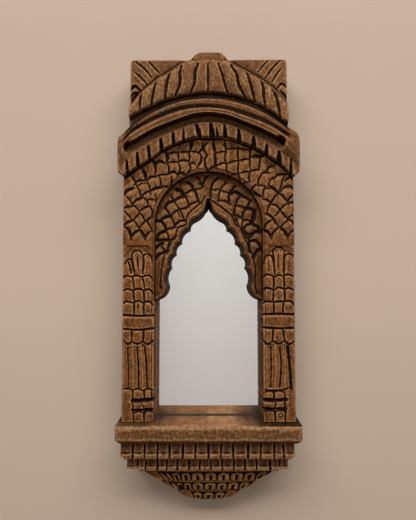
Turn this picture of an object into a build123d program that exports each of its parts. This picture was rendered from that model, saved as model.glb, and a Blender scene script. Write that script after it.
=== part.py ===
from build123d import *
import math
import os

# Carved wooden wall mirror, in millimetres, hung with its back on the plane y = 0.
# The front faces -Y. A depth is a distance forward from the wall. Z = 0 is near mid height.

# Frame: posts, arch board and the opening between them
frame_half_width = 116.0
opening_half_width = 73.0
frame_depth = 38.0
relief_depth = 3.0
arch_centre_z = 70.0
post_top_z = 42.0
shelf_top_z = -194.0
seat_gap = 0.2
joint_gap = 0.1
overrun = 2.0

# Eave, following one arc that is repeated up the front
eave_radius = 150.0
eave_half_width = 122.5
eave_low_apex_z = 190.0
eave_corner = 7.0
tooth_height = 18.0
tooth_depth = 47.0
tooth_gap_width = 2.4
tooth_gap_depth = 6.0
tooth_gap_shares = (-0.90, -0.78, -0.66, -0.53, -0.39, -0.27, -0.135,
                    0.02, 0.17, 0.33, 0.49, 0.64, 0.77, 0.90)
slot_height = 11.0
slot_back_depth = 36.0
slot_end_share = 0.86
ridge_depth = 54.0
moulding_height = 29.0
groove_depth = 49.5
roll_depth = 51.5
cove_depth = 44.0
# edges of the ridge, groove and roll up the moulding, as shares of its height
ridge_top_share = 0.24
roll_low_share = 0.39
roll_top_share = 0.79
shoulder_z = 204.0
shoulder_drop = 17.0

# Crown: flat board with a knob, and the ribbed dome that stands proud of it
crown_half_width = 107.8
crown_top_z = 298.3
crown_board_depth = 40.0
crown_corner_radius = 4.0
knob_half_width = 25.0
knob_height = 10.0
knob_top_share = 0.65
knob_corner_radius = 7.0
dome_depth = 49.0
dome_swell = 1.5
dome_end_z = 234.0
dome_top_z = 299.5
# half of the dome's upper edge, from its end: across by the crown's half width, up by its own rise
dome_edge_shares = ((1.0, 0.0), (0.90, 0.245), (0.72, 0.50), (0.47, 0.745), (0.24, 0.93), (0.0, 1.0))
rib_groove_width = 3.4
rib_groove_depth = 3.0
rib_top_shares = (-0.84, -0.66, -0.49, -0.31, -0.15, 0.0, 0.13, 0.29, 0.48, 0.65, 0.80)
rib_low_shares = (-0.86, -0.72, -0.55, -0.41, -0.23, 0.0, 0.25, 0.46, 0.59, 0.72, 0.89)
rib_bow_share = 0.02

# Shelf, tooth rails and corbel, stepping back to the wall
shelf_half_width = 121.5
shelf_depth = 53.0
shelf_height = 23.5
shelf_bevel_share = 0.25
# the worn top edge, as a share of the bevel
shelf_worn_share = 0.33
upper_rail_half_width = 112.5
upper_rail_height = 20.8
upper_rail_depth = 47.0
upper_tooth_count = 14
lower_rail_half_width = 105.0
lower_rail_height = 17.7
lower_rail_depth = 41.0
lower_tooth_count = 15
rail_gap_width = 2.2
rail_gap_depth = 6.0
rail_lip_share = 0.3
corbel_row_heights = (16.5, 15.5, 16.2)
corbel_row_tops = (86.5, 64.5, 42.5)
corbel_row_ends = (65.0, 45.0, 0.0)
corbel_row_depths = (34.0, 27.0, 20.0)
# how far the rows' ends still reach out at half their height, as shares of what they lose
corbel_middle_shares = (0.6, 0.6, 0.76)
petal_width = 17.5
petal_groove_width = 1.6
petal_groove_depth = 3.0
petal_phase_share = 0.5
drop_width = 3.0
drop_place_share = 0.42
drop_share = 0.3

# Posts, from the base up
base_height = 46.0
base_beam_share = 0.38
base_slot_share = 0.64
flute_height = 52.5
flute_radius = 2.4
flute_shares = (0.22, 0.5, 0.78)
flute_lift_share = 0.2
tongue_height = 24.5
tongue_gap_share = 0.25
block_height = 17.0
scale_row_height = 18.1
scale_row_count = 3
carving_gap = 1.2
petal_bow_share = 0.12
# borders between the carved columns, from the opening outwards
column_shares = (0.085, 0.345, 0.715, 1.0)

# Scale field
scale_pitch = 18.0
scale_rows = 7
scale_columns = 7
row_offset_share = 0.3
tile_share = 0.88
smallest_share = 0.5
# length of one step along a column, as a share of the pitch
step_share = 0.1
rim_width = 5.0

# Cusped panel
panel_depth = 30.0
panel_lip_width = 4.0
panel_lip_depth = 4.0
panel_rows = 11
cusp_rim_width = 4.5
# places from the arch centre, as shares of the opening's half width: each lobe's bulge, then its cusp
cusp_start_shares = (1.0, -1.43)
cusp_arc_shares = (
    ((0.829, -1.322), (0.775, -1.137)),
    ((0.800, -0.932), (0.726, -0.790)),
    ((0.719, -0.610), (0.638, -0.534)),
    ((0.621, -0.384), (0.532, -0.308)),
    ((0.486, -0.130), (0.359, -0.041)),
    ((0.336, 0.068), (0.247, 0.137)),
    ((0.082, 0.274), (0.0, 0.452)),
)

# Mirror, its backing and the rebate that holds them
glass_thickness = 3.0
board_thickness = 3.0
rebate_width = 10.0
glass_cover = 4.0
brad_width = 1.4
brad_head_width = 3.0
brad_head_height = 0.6
brad_length = 14.0
brad_side_count = 4

# Dowels and screws
dowel_width = 8.0
dowel_length = 30.0
dowel_depth = 19.0
eave_dowel_x = 60.0
screw_radius = 1.8
screw_head_width = 7.0
screw_head_height = 3.2
base_screw_length = 50.0
base_screw_x = 60.0
corbel_screw_length = 42.0
corbel_screw_x = 55.0
corbel_screw_depth = 14.0
eave_nail_length = 24.0
eave_nail_width = 2.2
eave_nail_head_radius = 2.0
eave_nail_head_height = 0.8
eave_nail_x = (-62.5, -47.0)

# Hanger: a strap plate and its D ring in a recess in the back of the eave
recess_half_width = 14.0
recess_depth = 8.0
recess_corner_radius = 4.0
strap_thickness = 1.0
strap_width = 8.0
strap_drop = 32.0
strap_screw_pitch = 9.0
ring_wire_radius = 1.1
ring_pin_gap = 0.08
ring_half_width = 7.5
ring_length = 13.0
ring_rest_gap = 0.3
pivot_below_top = 20.0
hanger_screw_radius = 1.4
hanger_screw_head_radius = 3.0
hanger_screw_head_height = 1.4
hanger_screw_length = 14.0

# Places worked out from the sizes above
shelf_low_z = shelf_top_z - shelf_height
upper_rail_low_z = shelf_low_z - upper_rail_height
corbel_top_z = upper_rail_low_z - lower_rail_height
slot_low_apex_z = eave_low_apex_z + tooth_height
slot_top_apex_z = slot_low_apex_z + slot_height
dome_low_apex_z = slot_top_apex_z + moulding_height
rebate_depth = glass_thickness + board_thickness
rebate_half_width = opening_half_width + rebate_width
rebate_top_z = arch_centre_z + opening_half_width + rebate_width
rebate_low_z = shelf_top_z - rebate_width
ground_depth = frame_depth - relief_depth
pivot_z = dome_low_apex_z - pivot_below_top
pivot_depth = recess_depth - strap_thickness - ring_rest_gap - ring_wire_radius
recess_top_z = dome_low_apex_z - relief_depth - carving_gap


def slab(outline, front, back=0.0):
    """Solid behind a front-view outline, between two depths."""
    return extrude(Plane.XZ.offset(back) * outline, front - back)


def box(left, right, low, high, front, back=0.0):
    outline = make_face(Polyline((left, low), (right, low), (right, high), (left, high), close=True))
    return slab(outline, front, back)


def bowed(left, right, low, high, top_rise=0.0, low_rise=0.0):
    """Upright panel outline whose top and bottom edges may bow outwards."""
    middle = (left + right) / 2
    edges = [Line((left, low), (left, high)), Line((right, high), (right, low))]
    if top_rise > 0:
        edges.append(ThreePointArc((left, high), (middle, high + top_rise), (right, high)))
    else:
        edges.append(Line((left, high), (right, high)))
    if low_rise > 0:
        edges.append(ThreePointArc((right, low), (middle, low - low_rise), (left, low)))
    else:
        edges.append(Line((right, low), (left, low)))
    return make_face(edges)


def mirrored(shape):
    return mirror(shape, about=Plane.YZ)


def peg(radius, length, start, direction):
    """Round bar from a start point along a direction."""
    return extrude(Plane(start, z_dir=direction) * Circle(radius), length)


def square_bar(width, x, z, front, back=0.0):
    """Square bar that runs straight forward from the wall."""
    half = width / 2
    return box(x - half, x + half, z - half, z + half, front, back)


def coach_screw(length, start, gap):
    """Upright screw whose square head lies at the start point, below its shank."""
    plane = Plane(start)
    head_width = screw_head_width + 2 * gap
    head = extrude(plane * Rectangle(head_width, head_width), screw_head_height + gap)
    return head + extrude(plane * Circle(screw_radius + gap), length + gap)


# Eave line

def eave_drop(x):
    return eave_radius - math.sqrt(eave_radius ** 2 - x ** 2)


def eave_arc(apex_z, half_width):
    end_z = apex_z - eave_drop(half_width)
    return ThreePointArc((-half_width, end_z), (0, apex_z), (half_width, end_z))


def eave_band(low, high, half_width, front):
    """Band between two copies of the eave line, at two heights above its lowest line."""
    low_z = eave_low_apex_z + low - eave_drop(half_width)
    high_z = eave_low_apex_z + high - eave_drop(half_width)
    outline = make_face([
        eave_arc(eave_low_apex_z + low, half_width),
        Line((half_width, low_z), (half_width, high_z)),
        eave_arc(eave_low_apex_z + high, half_width),
        Line((-half_width, high_z), (-half_width, low_z)),
    ])
    return slab(outline, front)


def bevel(band, top, height, depth):
    """Cut back the top or bottom front edge of a band."""
    face = band.faces().sort_by(Axis.Y)[0]
    arcs = face.edges().filter_by(GeomType.CIRCLE).sort_by(Axis.Z)
    return chamfer(arcs[-1] if top else arcs[0], height, depth, reference=face)


# Crown

def dome_edge_z(x):
    """Height of the dome's upper edge."""
    place = min(abs(x) / crown_half_width, 1.0)
    for (outer, low), (inner, high) in zip(dome_edge_shares, dome_edge_shares[1:]):
        if inner <= place <= outer:
            part = (outer - place) / (outer - inner)
            return dome_end_z + (low + part * (high - low)) * (dome_top_z - dome_end_z)
    return dome_end_z


def dome_low_z(x):
    return dome_low_apex_z - eave_drop(x)


def crown_board():
    end_z = dome_low_z(crown_half_width)
    edges = [
        eave_arc(dome_low_apex_z, crown_half_width),
        Line((crown_half_width, end_z), (crown_half_width, crown_top_z)),
        Line((crown_half_width, crown_top_z), (-crown_half_width, crown_top_z)),
        Line((-crown_half_width, crown_top_z), (-crown_half_width, end_z)),
    ]
    outline = make_face(edges)
    corners = outline.vertices().filter_by_position(Axis.Y, crown_top_z - joint_gap, crown_top_z + joint_gap)
    outline = fillet(corners, crown_corner_radius)
    knob_top = knob_half_width * knob_top_share
    knob_low_z = crown_top_z - crown_corner_radius
    knob = make_face(Polyline(
        (-knob_half_width, knob_low_z), (-knob_top, crown_top_z + knob_height),
        (knob_top, crown_top_z + knob_height), (knob_half_width, knob_low_z), close=True))
    shoulders = knob.vertices().filter_by_position(Axis.Y, crown_top_z, crown_top_z + knob_height)
    return slab(outline + fillet(shoulders, knob_corner_radius), crown_board_depth)


def dome_core(inset):
    """Everything behind the dome's swelling front, or behind a copy of it moved back."""
    low = dome_low_z(crown_half_width) - relief_depth
    high = dome_top_z + relief_depth
    top_depth = crown_board_depth + relief_depth / 2
    section = make_face([
        Line((0, low), (inset - dome_depth, low)),
        ThreePointArc((inset - dome_depth, low),
                      (inset - dome_depth - dome_swell, dome_low_apex_z - relief_depth),
                      (inset - top_depth, high)),
        Line((inset - top_depth, high), (0, high)),
        Line((0, high), (0, low)),
    ])
    return extrude(Plane.YZ * section, crown_half_width + overrun, both=True)


def dome_outline():
    right = [(x * crown_half_width, dome_end_z + z * (dome_top_z - dome_end_z)) for x, z in dome_edge_shares]
    left = [(-x, z) for x, z in right]
    end_z = dome_low_z(crown_half_width)
    return make_face([
        ThreePointArc(*right[0:3]),
        ThreePointArc(*right[2:5]),
        ThreePointArc(right[4], right[5], left[4]),
        ThreePointArc(*left[2:5]),
        ThreePointArc(*left[0:3]),
        Line(left[0], (-crown_half_width, end_z)),
        eave_arc(dome_low_apex_z, crown_half_width),
        Line((crown_half_width, end_z), right[0]),
    ])


def rib_groove(top_x, low_x):
    """Front view of the gouge between two ribs: pointed at both ends and bowed."""
    top = (top_x, dome_edge_z(top_x) - rim_width - relief_depth)
    low = (low_x, dome_low_z(low_x) + relief_depth)
    middle_x = (top_x + low_x) / 2 - math.copysign(rib_bow_share, low_x) * crown_half_width
    middle_z = (top[1] + low[1]) / 2
    half = rib_groove_width / 2
    return make_face([
        ThreePointArc(top, (middle_x - half, middle_z), low),
        ThreePointArc(low, (middle_x + half, middle_z), top),
    ])


def crown_block():
    front = dome_depth + dome_swell + overrun
    crown = crown_board() + (slab(dome_outline(), front) & dome_core(0))
    ground = dome_core(rib_groove_depth)
    for top_share, low_share in zip(rib_top_shares, rib_low_shares):
        groove = rib_groove(top_share * crown_half_width, low_share * crown_half_width)
        crown -= slab(groove, front) - ground
    for dowel in crown_dowel_list(joint_gap):
        crown -= dowel
    return crown


# Eave

def mouldings():
    """Front of the eave: teeth with the slot's sloping floor over them, ridge, groove, roll and cove."""
    half = eave_half_width + overrun
    slot_top = tooth_height + slot_height
    top = slot_top + moulding_height
    ridge_top = slot_top + moulding_height * ridge_top_share
    roll_low = slot_top + moulding_height * roll_low_share
    roll_top = slot_top + moulding_height * roll_top_share
    teeth = bevel(eave_band(0, slot_top, half, tooth_depth), True, slot_height, tooth_depth - slot_back_depth)
    ridge = bevel(eave_band(slot_top, ridge_top, half, ridge_depth), True, relief_depth / 2, relief_depth)
    groove = eave_band(ridge_top, roll_low, half, groove_depth)
    roll = bevel(eave_band(roll_low, roll_top, half, roll_depth), True, relief_depth, roll_depth - cove_depth)
    roll = bevel(roll, False, relief_depth / 2, roll_depth - groove_depth)
    return [teeth, ridge, groove, roll, eave_band(roll_top, top, half, cove_depth)]


def eave_silhouette():
    """Half outline that trims the ends of the eave."""
    inner = crown_half_width
    outer = eave_half_width
    low_z = eave_low_apex_z - eave_drop(frame_half_width)
    right = [
        (inner, dome_low_apex_z + overrun),
        (inner, shoulder_z),
        (outer - relief_depth, shoulder_z - shoulder_drop + relief_depth),
        (outer, shoulder_z - shoulder_drop - relief_depth),
        (outer, low_z + eave_corner),
        (frame_half_width, low_z),
        (frame_half_width, low_z - overrun - overrun),
    ]
    left = [(-x, z) for x, z in reversed(right)]
    return make_face(Polyline(*right, *left, close=True))


def slot_ends():
    """Solid ends of the eave that close the slot with round ends."""
    slot_half = eave_half_width * slot_end_share
    slot_top = tooth_height + slot_height
    front = tooth_depth + relief_depth / 2
    ends = eave_band(tooth_height, slot_top, eave_half_width + overrun, front)
    ends -= eave_band(tooth_height, slot_top, slot_half, front)
    end_z = slot_low_apex_z - eave_drop(slot_half) + slot_height / 2
    round_end = peg(slot_height / 2, front, (slot_half, -slot_back_depth, end_z), (0, -1, 0))
    return ends - round_end - mirrored(round_end)


def tooth_gaps():
    gaps = []
    for share in tooth_gap_shares:
        x = share * eave_half_width
        low = eave_low_apex_z - eave_drop(x) - tooth_gap_width - tooth_gap_width
        high = slot_low_apex_z - eave_drop(x)
        gaps.append(box(x - tooth_gap_width / 2, x + tooth_gap_width / 2, low, high,
                        tooth_depth + overrun, tooth_depth - tooth_gap_depth))
    return gaps


def hanger_recess():
    top = recess_top_z
    low = pivot_z - strap_drop - relief_depth
    middle = (top + low) / 2
    outline = Pos(0, middle) * RectangleRounded(2 * recess_half_width, top - low, recess_corner_radius)
    return slab(outline, recess_depth, -overrun)


def eave_block():
    bands = mouldings()
    eave = bands[0] + bands[1:] + slot_ends()
    eave &= slab(eave_silhouette(), ridge_depth + overrun)
    for cutter in tooth_gaps() + crown_dowel_list(joint_gap) + eave_dowel_list(joint_gap):
        eave -= cutter
    eave -= hanger_recess()
    for cutter in eave_nail_list(joint_gap) + hanger_screw_list(joint_gap):
        eave -= cutter
    return eave


# Arch board

def opening_outline(half_width, low_z):
    """Round-headed opening."""
    return make_face([
        Line((-half_width, low_z), (half_width, low_z)),
        Line((half_width, low_z), (half_width, arch_centre_z)),
        ThreePointArc((half_width, arch_centre_z), (0, arch_centre_z + half_width),
                      (-half_width, arch_centre_z)),
        Line((-half_width, arch_centre_z), (-half_width, low_z)),
    ])


def board_outline(inset=0.0):
    half_width = frame_half_width - inset
    apex_z = eave_low_apex_z - inset
    low_z = post_top_z + inset
    end_z = apex_z - eave_drop(half_width)
    edges = [
        Line((-half_width, low_z), (half_width, low_z)),
        Line((half_width, low_z), (half_width, end_z)),
        eave_arc(apex_z, half_width),
        Line((-half_width, end_z), (-half_width, low_z)),
    ]
    return make_face(edges)


def net_point(column, row):
    """Crossing of the scale net: rows repeat the eave line, columns cross them at right angles."""
    start = min(abs(column) * scale_pitch, eave_radius - scale_pitch)
    apex_z = eave_low_apex_z - (row + row_offset_share) * scale_pitch
    if start == 0:
        return (0.0, apex_z)
    # walk down the column in short steps, each at right angles to the row through it
    x = start
    z = eave_low_apex_z - row_offset_share * scale_pitch - eave_drop(x)
    goal = apex_z
    while z + eave_drop(x) > goal + step_share * scale_pitch:
        slope = x / math.sqrt(eave_radius ** 2 - x ** 2)
        length = math.hypot(1.0, slope)
        x -= step_share * scale_pitch * slope / length
        z -= step_share * scale_pitch / length
    return (math.copysign(x, column), z)


def scale_tiles(field, rows, columns):
    """Flat-topped scales of the net that fall in a field."""
    tiles = []
    for row in range(rows):
        for column in range(-columns, columns):
            corners = [net_point(column, row), net_point(column + 1, row),
                       net_point(column + 1, row + 1), net_point(column, row + 1)]
            middle_x = sum(x for x, z in corners) / len(corners)
            middle_z = sum(z for x, z in corners) / len(corners)
            shrunk = [(middle_x + (x - middle_x) * tile_share, middle_z + (z - middle_z) * tile_share)
                      for x, z in corners]
            tiles.append(make_face(Polyline(*shrunk, close=True)))
    kept = []
    for tile in tiles:
        cut = tile & field
        for face in ([] if cut is None else cut.faces()):
            if face.area > (scale_pitch * smallest_share) ** 2:
                kept.append(face)
    return kept


def arch_head():
    hole = opening_outline(opening_half_width, post_top_z - overrun)
    board = slab(board_outline() - hole, ground_depth)
    board += slab(rim_outline() & board_outline(), frame_depth)
    field = board_outline(carving_gap) - opening_outline(opening_half_width + rim_width + carving_gap,
                                                         post_top_z - overrun)
    tiles = [slab(tile, frame_depth, ground_depth - carving_gap)
             for tile in scale_tiles(field, scale_rows, scale_columns)]
    board = board + tiles
    board -= box(-rebate_half_width, rebate_half_width, post_top_z - overrun, rebate_top_z,
                 rebate_depth, -overrun)
    board -= panel_lip(seat_gap)
    for cutter in eave_dowel_list(joint_gap) + post_dowel_list(post_top_z, joint_gap) + brads(joint_gap):
        board -= cutter
    return board


def rim_outline():
    wide = opening_outline(opening_half_width + rim_width, post_top_z - overrun)
    return wide - opening_outline(opening_half_width, post_top_z - overrun - overrun)


# Posts

def post_zones():
    """Heights of the carved zones, from the base up."""
    base_top = shelf_top_z + base_height
    flute_top = base_top + flute_height
    tongue_top = flute_top + tongue_height
    block_top = tongue_top + block_height
    scales_top = block_top + scale_row_height * scale_row_count
    return base_top, flute_top, tongue_top, block_top, scales_top


def columns():
    width = frame_half_width - opening_half_width
    borders = [opening_half_width + share * width for share in column_shares]
    half_gap = carving_gap / 2
    return [(left + half_gap, right - half_gap) for left, right in zip(borders, borders[1:])]


def post_tiles():
    """Raised carving of the right post."""
    base_top, flute_top, tongue_top, block_top, scales_top = post_zones()
    half_gap = carving_gap / 2
    tiles = []
    inner = columns()[0][0]
    outer = frame_half_width
    slot_z = shelf_top_z + base_height * base_slot_share
    beam_z = shelf_top_z + base_height * base_beam_share
    for left, right in columns():
        rise = (right - left) * petal_bow_share
        tiles.append(bowed(left, right, slot_z + half_gap, base_top - rise - carving_gap, rise))
        tiles.append(bowed(left, right, shelf_top_z + carving_gap, beam_z - rise - half_gap, rise))
        tongue_low = flute_top + tongue_height * tongue_gap_share + rise
        tiles.append(bowed(left, right, tongue_low, tongue_top - half_gap, 0, rise))
        for row in range(scale_row_count):
            low = block_top + row * scale_row_height + half_gap
            tiles.append(bowed(left, right, low, low + scale_row_height - rise - carving_gap, rise))
        petal_top = post_top_z - rise - rise - carving_gap
        tiles.append(bowed(left, right, scales_top + half_gap, petal_top, rise))
    tiles.append(bowed(inner, outer, beam_z + half_gap, slot_z - half_gap))
    tiles.append(bowed(inner, outer, tongue_top + half_gap, block_top - half_gap))
    tiles.append(bowed(inner, outer, base_top + half_gap, flute_top - half_gap))
    return tiles


def flutes():
    base_top, flute_top = post_zones()[:2]
    width = frame_half_width - opening_half_width
    cutters = []
    for share in flute_shares:
        x = opening_half_width + share * width
        start = (x, -frame_depth - flute_radius * flute_lift_share, base_top)
        cutters.append(peg(flute_radius, flute_height, start, (0, 0, 1)))
    return cutters


def right_post():
    post = box(opening_half_width, frame_half_width, shelf_top_z, post_top_z, ground_depth)
    margin = columns()[0][0] - carving_gap
    post += box(opening_half_width, margin, shelf_top_z, post_top_z, frame_depth)
    post += [slab(tile, frame_depth, ground_depth - carving_gap) for tile in post_tiles()]
    for flute in flutes():
        post -= flute
    post -= box(opening_half_width - overrun, rebate_half_width, shelf_top_z - overrun, post_top_z + overrun,
                rebate_depth, -overrun)
    post -= panel_lip(seat_gap)
    for cutter in post_dowel_list(post_top_z, joint_gap) + post_dowel_list(shelf_top_z, joint_gap):
        post -= cutter
    for cutter in brads(joint_gap):
        post -= cutter
    return post


# Cusped panel

def cusp_edges():
    """Right half of the cusped edge, from foot to apex."""
    edges = []
    start = cusp_point(cusp_start_shares)
    for bulge_shares, end_shares in cusp_arc_shares:
        end = cusp_point(end_shares)
        edges.append(ThreePointArc(start, cusp_point(bulge_shares), end))
        start = end
    return edges


def cusp_point(shares):
    return (shares[0] * opening_half_width, arch_centre_z + shares[1] * opening_half_width)


def cusped_hole():
    """Everything below and inside the cusped edge."""
    half = cusp_edges()
    foot = cusp_point(cusp_start_shares)
    low_z = foot[1] - rim_width
    lower = [
        Line(foot, (foot[0], low_z)),
        Line((foot[0], low_z), (0, low_z)),
        Line((0, low_z), cusp_point(cusp_arc_shares[-1][1])),
    ]
    right = make_face(half + lower)
    return right + mirror(right, about=Plane.YZ)


def panel_outline(half_width):
    return opening_outline(half_width, cusp_point(cusp_start_shares)[1])


def panel_lip(gap):
    """Lip round the back edge of the panel, and with a gap the rebate that takes it."""
    outline = opening_outline(opening_half_width + panel_lip_width + gap,
                              cusp_point(cusp_start_shares)[1] - gap)
    return slab(outline, rebate_depth + panel_lip_depth + gap, rebate_depth)


def cusped_arch():
    half_width = opening_half_width - seat_gap
    hole = cusped_hole()
    body = slab(panel_outline(half_width), panel_depth - relief_depth, rebate_depth)
    body += panel_lip(-seat_gap)
    rim = offset(hole, cusp_rim_width) & panel_outline(half_width)
    body += slab(rim, panel_depth, rebate_depth)
    field = panel_outline(half_width - carving_gap) - offset(hole, cusp_rim_width + carving_gap)
    for tile in scale_tiles(field, panel_rows, scale_columns):
        body += slab(tile, panel_depth, panel_depth - relief_depth - carving_gap)
    body -= slab(hole, panel_depth + overrun, 0)
    return body


# Mirror and backing

def rebate_panel(inset, back, thickness):
    left = -rebate_half_width + inset
    return box(left, -left, rebate_low_z + inset, rebate_top_z - inset, back + thickness, back)


def mirror_glass():
    return rebate_panel(rebate_width - glass_cover, board_thickness, glass_thickness)


def brad_places():
    inset = brad_head_width
    x = rebate_half_width - inset
    low = rebate_low_z + inset
    high = rebate_top_z - inset
    places = []
    for index in range(brad_side_count):
        z = low + (high - low) * (2 * index + 1) / (2 * brad_side_count)
        places += [(x, z), (-x, z)]
    return places + [(0, low), (0, high)]


def brads(gap=0.0):
    pins = []
    for x, z in brad_places():
        shank = square_bar(brad_width + 2 * gap, x, z, brad_length + gap)
        head = square_bar(brad_head_width + 2 * gap, x, z, brad_head_height + gap)
        pins.append(shank + head)
    return pins


def back_board():
    board = rebate_panel(seat_gap, 0, board_thickness)
    for brad in brads(joint_gap):
        board -= brad
    return board


# Shelf, rails and corbel

def shelf_silhouette():
    half = shelf_half_width
    bevel = shelf_height * shelf_bevel_share
    right = [
        (half, shelf_top_z),
        (half, shelf_low_z + bevel),
        (half - bevel, shelf_low_z),
    ]
    left = [(-x, z) for x, z in reversed(right)]
    return make_face(Polyline(*right, *left, close=True))


def sill_ledge():
    bevel = shelf_height * shelf_bevel_share
    worn = bevel * shelf_worn_share
    section = make_face(Plane.YZ * Polyline(
        (0, shelf_low_z), (-shelf_depth + bevel, shelf_low_z), (-shelf_depth, shelf_low_z + bevel),
        (-shelf_depth, shelf_top_z - worn), (-shelf_depth + worn, shelf_top_z), (0, shelf_top_z), close=True))
    shelf = extrude(section, shelf_half_width, both=True)
    shelf &= slab(shelf_silhouette(), shelf_depth)
    shelf -= box(-rebate_half_width, rebate_half_width, rebate_low_z, shelf_top_z + overrun,
                 rebate_depth, -overrun)
    for cutter in post_dowel_list(shelf_top_z, joint_gap) + base_screw_list(joint_gap) + brads(joint_gap):
        shelf -= cutter
    return shelf


def tooth_rail(half_width, top_z, height, depth, count):
    """Rail whose front is cut into teeth with a bevelled lip at the bottom."""
    lip = height * rail_lip_share
    section = make_face(Plane.YZ * Polyline(
        (0, top_z - height), (-depth + lip / 2, top_z - height), (-depth, top_z - height + lip / 2),
        (-depth, top_z - height + lip), (-depth + carving_gap, top_z - height + lip + carving_gap),
        (-depth + carving_gap, top_z), (0, top_z), close=True))
    rail = extrude(section, half_width, both=True)
    pitch = 2 * half_width / count
    for index in range(1, count):
        x = index * pitch - half_width
        rail -= box(x - rail_gap_width / 2, x + rail_gap_width / 2, top_z - height - overrun, top_z,
                    depth + overrun, depth - rail_gap_depth)
    return rail


def upper_tooth_rail():
    rail = tooth_rail(upper_rail_half_width, shelf_low_z, upper_rail_height, upper_rail_depth,
                      upper_tooth_count)
    for cutter in base_screw_list(joint_gap):
        rail -= cutter
    for cutter in corbel_screw_list(joint_gap):
        rail -= cutter
    return rail


def lower_tooth_rail():
    rail = tooth_rail(lower_rail_half_width, upper_rail_low_z, lower_rail_height, lower_rail_depth,
                      lower_tooth_count)
    for cutter in base_screw_list(joint_gap) + corbel_screw_list(joint_gap):
        rail -= cutter
    return rail


def corbel_row(top_z, height, top_half, end_half, depth, middle_share):
    """One row of petals: ends curve in, and the lower front edge is rounded off."""
    low_z = top_z - height
    middle_x = end_half + (top_half - end_half) * middle_share
    middle_z = top_z - height / 2
    edges = [
        Line((-top_half, top_z), (top_half, top_z)),
        ThreePointArc((top_half, top_z), (middle_x, middle_z), (end_half, low_z)),
        ThreePointArc((-top_half, top_z), (-middle_x, middle_z), (-end_half, low_z)),
    ]
    if end_half > 0:
        edges.append(Line((end_half, low_z), (-end_half, low_z)))
    row = slab(make_face(edges), depth)
    round_off = height / 2
    section = make_face(Plane.YZ * Polyline(
        (-depth - overrun, low_z - overrun), (-depth + round_off, low_z - overrun),
        (-depth + round_off, low_z), (-depth, low_z + round_off), (-depth - overrun, low_z + round_off),
        close=True))
    row -= extrude(section, top_half + overrun, both=True)
    count = int(top_half / petal_width)
    for index in range(-count, count + 1):
        x = (index + petal_phase_share) * petal_width
        if abs(x) < top_half - petal_width * petal_phase_share:
            row -= box(x - petal_groove_width / 2, x + petal_groove_width / 2, low_z, top_z,
                       depth + overrun, depth - petal_groove_depth)
        drop_x = index * petal_width
        if abs(drop_x) < top_half - petal_width:
            low = top_z - height * (drop_place_share + drop_share)
            drop = make_face(Polyline(
                (drop_x - drop_width / 2, low), (drop_x, top_z - height * (drop_place_share - drop_share)),
                (drop_x + drop_width / 2, low), close=True))
            row -= slab(drop, depth + overrun, depth - petal_groove_depth)
    return row


def base_corbel():
    corbel = None
    top_z = corbel_top_z
    sizes = zip(corbel_row_heights, corbel_row_tops, corbel_row_ends, corbel_row_depths, corbel_middle_shares)
    for height, *row_sizes in sizes:
        row = corbel_row(top_z, height, *row_sizes)
        corbel = row if corbel is None else corbel + row
        top_z -= height
    for cutter in corbel_screw_list(joint_gap):
        corbel -= cutter
    # square pockets that let the screws in from below
    half = screw_head_width / 2 + joint_gap
    head_z = corbel_top_z - corbel_row_heights[0] + joint_gap
    for x in (-corbel_screw_x, corbel_screw_x):
        corbel -= box(x - half, x + half, head_z - corbel_row_heights[1], head_z,
                      corbel_screw_depth + half, corbel_screw_depth - half)
    return corbel


# Fasteners. A gap gives the hole instead of the fastener.

def upright_dowels(places, gap):
    """Square dowels across level seams."""
    dowels = []
    half = dowel_width / 2 + gap
    reach = dowel_length / 2 + gap
    for x, seam_z in places:
        dowels.append(box(x - half, x + half, seam_z - reach, seam_z + reach,
                          dowel_depth + half, dowel_depth - half))
    return dowels


def crown_dowel_list(gap=0.0):
    seam_z = dome_low_apex_z - eave_drop(eave_dowel_x)
    return upright_dowels([(-eave_dowel_x, seam_z), (eave_dowel_x, seam_z)], gap)


def eave_dowel_list(gap=0.0):
    seam_z = eave_low_apex_z - eave_drop(eave_dowel_x)
    return upright_dowels([(-eave_dowel_x, seam_z), (eave_dowel_x, seam_z)], gap)


def post_dowel_list(seam_z, gap=0.0):
    x = (frame_half_width + rebate_half_width) / 2
    return upright_dowels([(-x, seam_z), (x, seam_z)], gap)


def base_screw_list(gap=0.0):
    return [coach_screw(base_screw_length, (x, -dowel_depth, corbel_top_z), gap)
            for x in (-base_screw_x, base_screw_x)]


def corbel_screw_list(gap=0.0):
    head_z = corbel_top_z - corbel_row_heights[0]
    return [coach_screw(corbel_screw_length, (x, -corbel_screw_depth, head_z), gap)
            for x in (-corbel_screw_x, corbel_screw_x)]


def eave_nail_list(gap=0.0):
    roll_z = slot_top_apex_z + moulding_height * (roll_low_share + roll_top_share) / 2
    nails = []
    for x in eave_nail_x:
        z = roll_z - eave_drop(x)
        shank = square_bar(eave_nail_width + 2 * gap, x, z, roll_depth, roll_depth - eave_nail_length - gap)
        start = (x, -roll_depth - eave_nail_head_height, z)
        head = peg(eave_nail_head_radius, eave_nail_head_height, start, (0, 1, 0))
        nails.append(shank if gap > 0 else shank + head)
    return nails


# Hanger

def hanger_screw_list(gap=0.0):
    screws = []
    for index in range(2):
        z = pivot_z - strap_drop + strap_width / 2 + index * strap_screw_pitch
        start = (0, -recess_depth + strap_thickness, z)
        shank = peg(hanger_screw_radius + gap, hanger_screw_length, start, (0, -1, 0))
        head_start = (0, -recess_depth + strap_thickness + hanger_screw_head_height, z)
        head = peg(hanger_screw_head_radius, hanger_screw_head_height, head_start, (0, -1, 0))
        screws.append(shank if gap > 0 else shank + head)
    return screws


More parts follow.
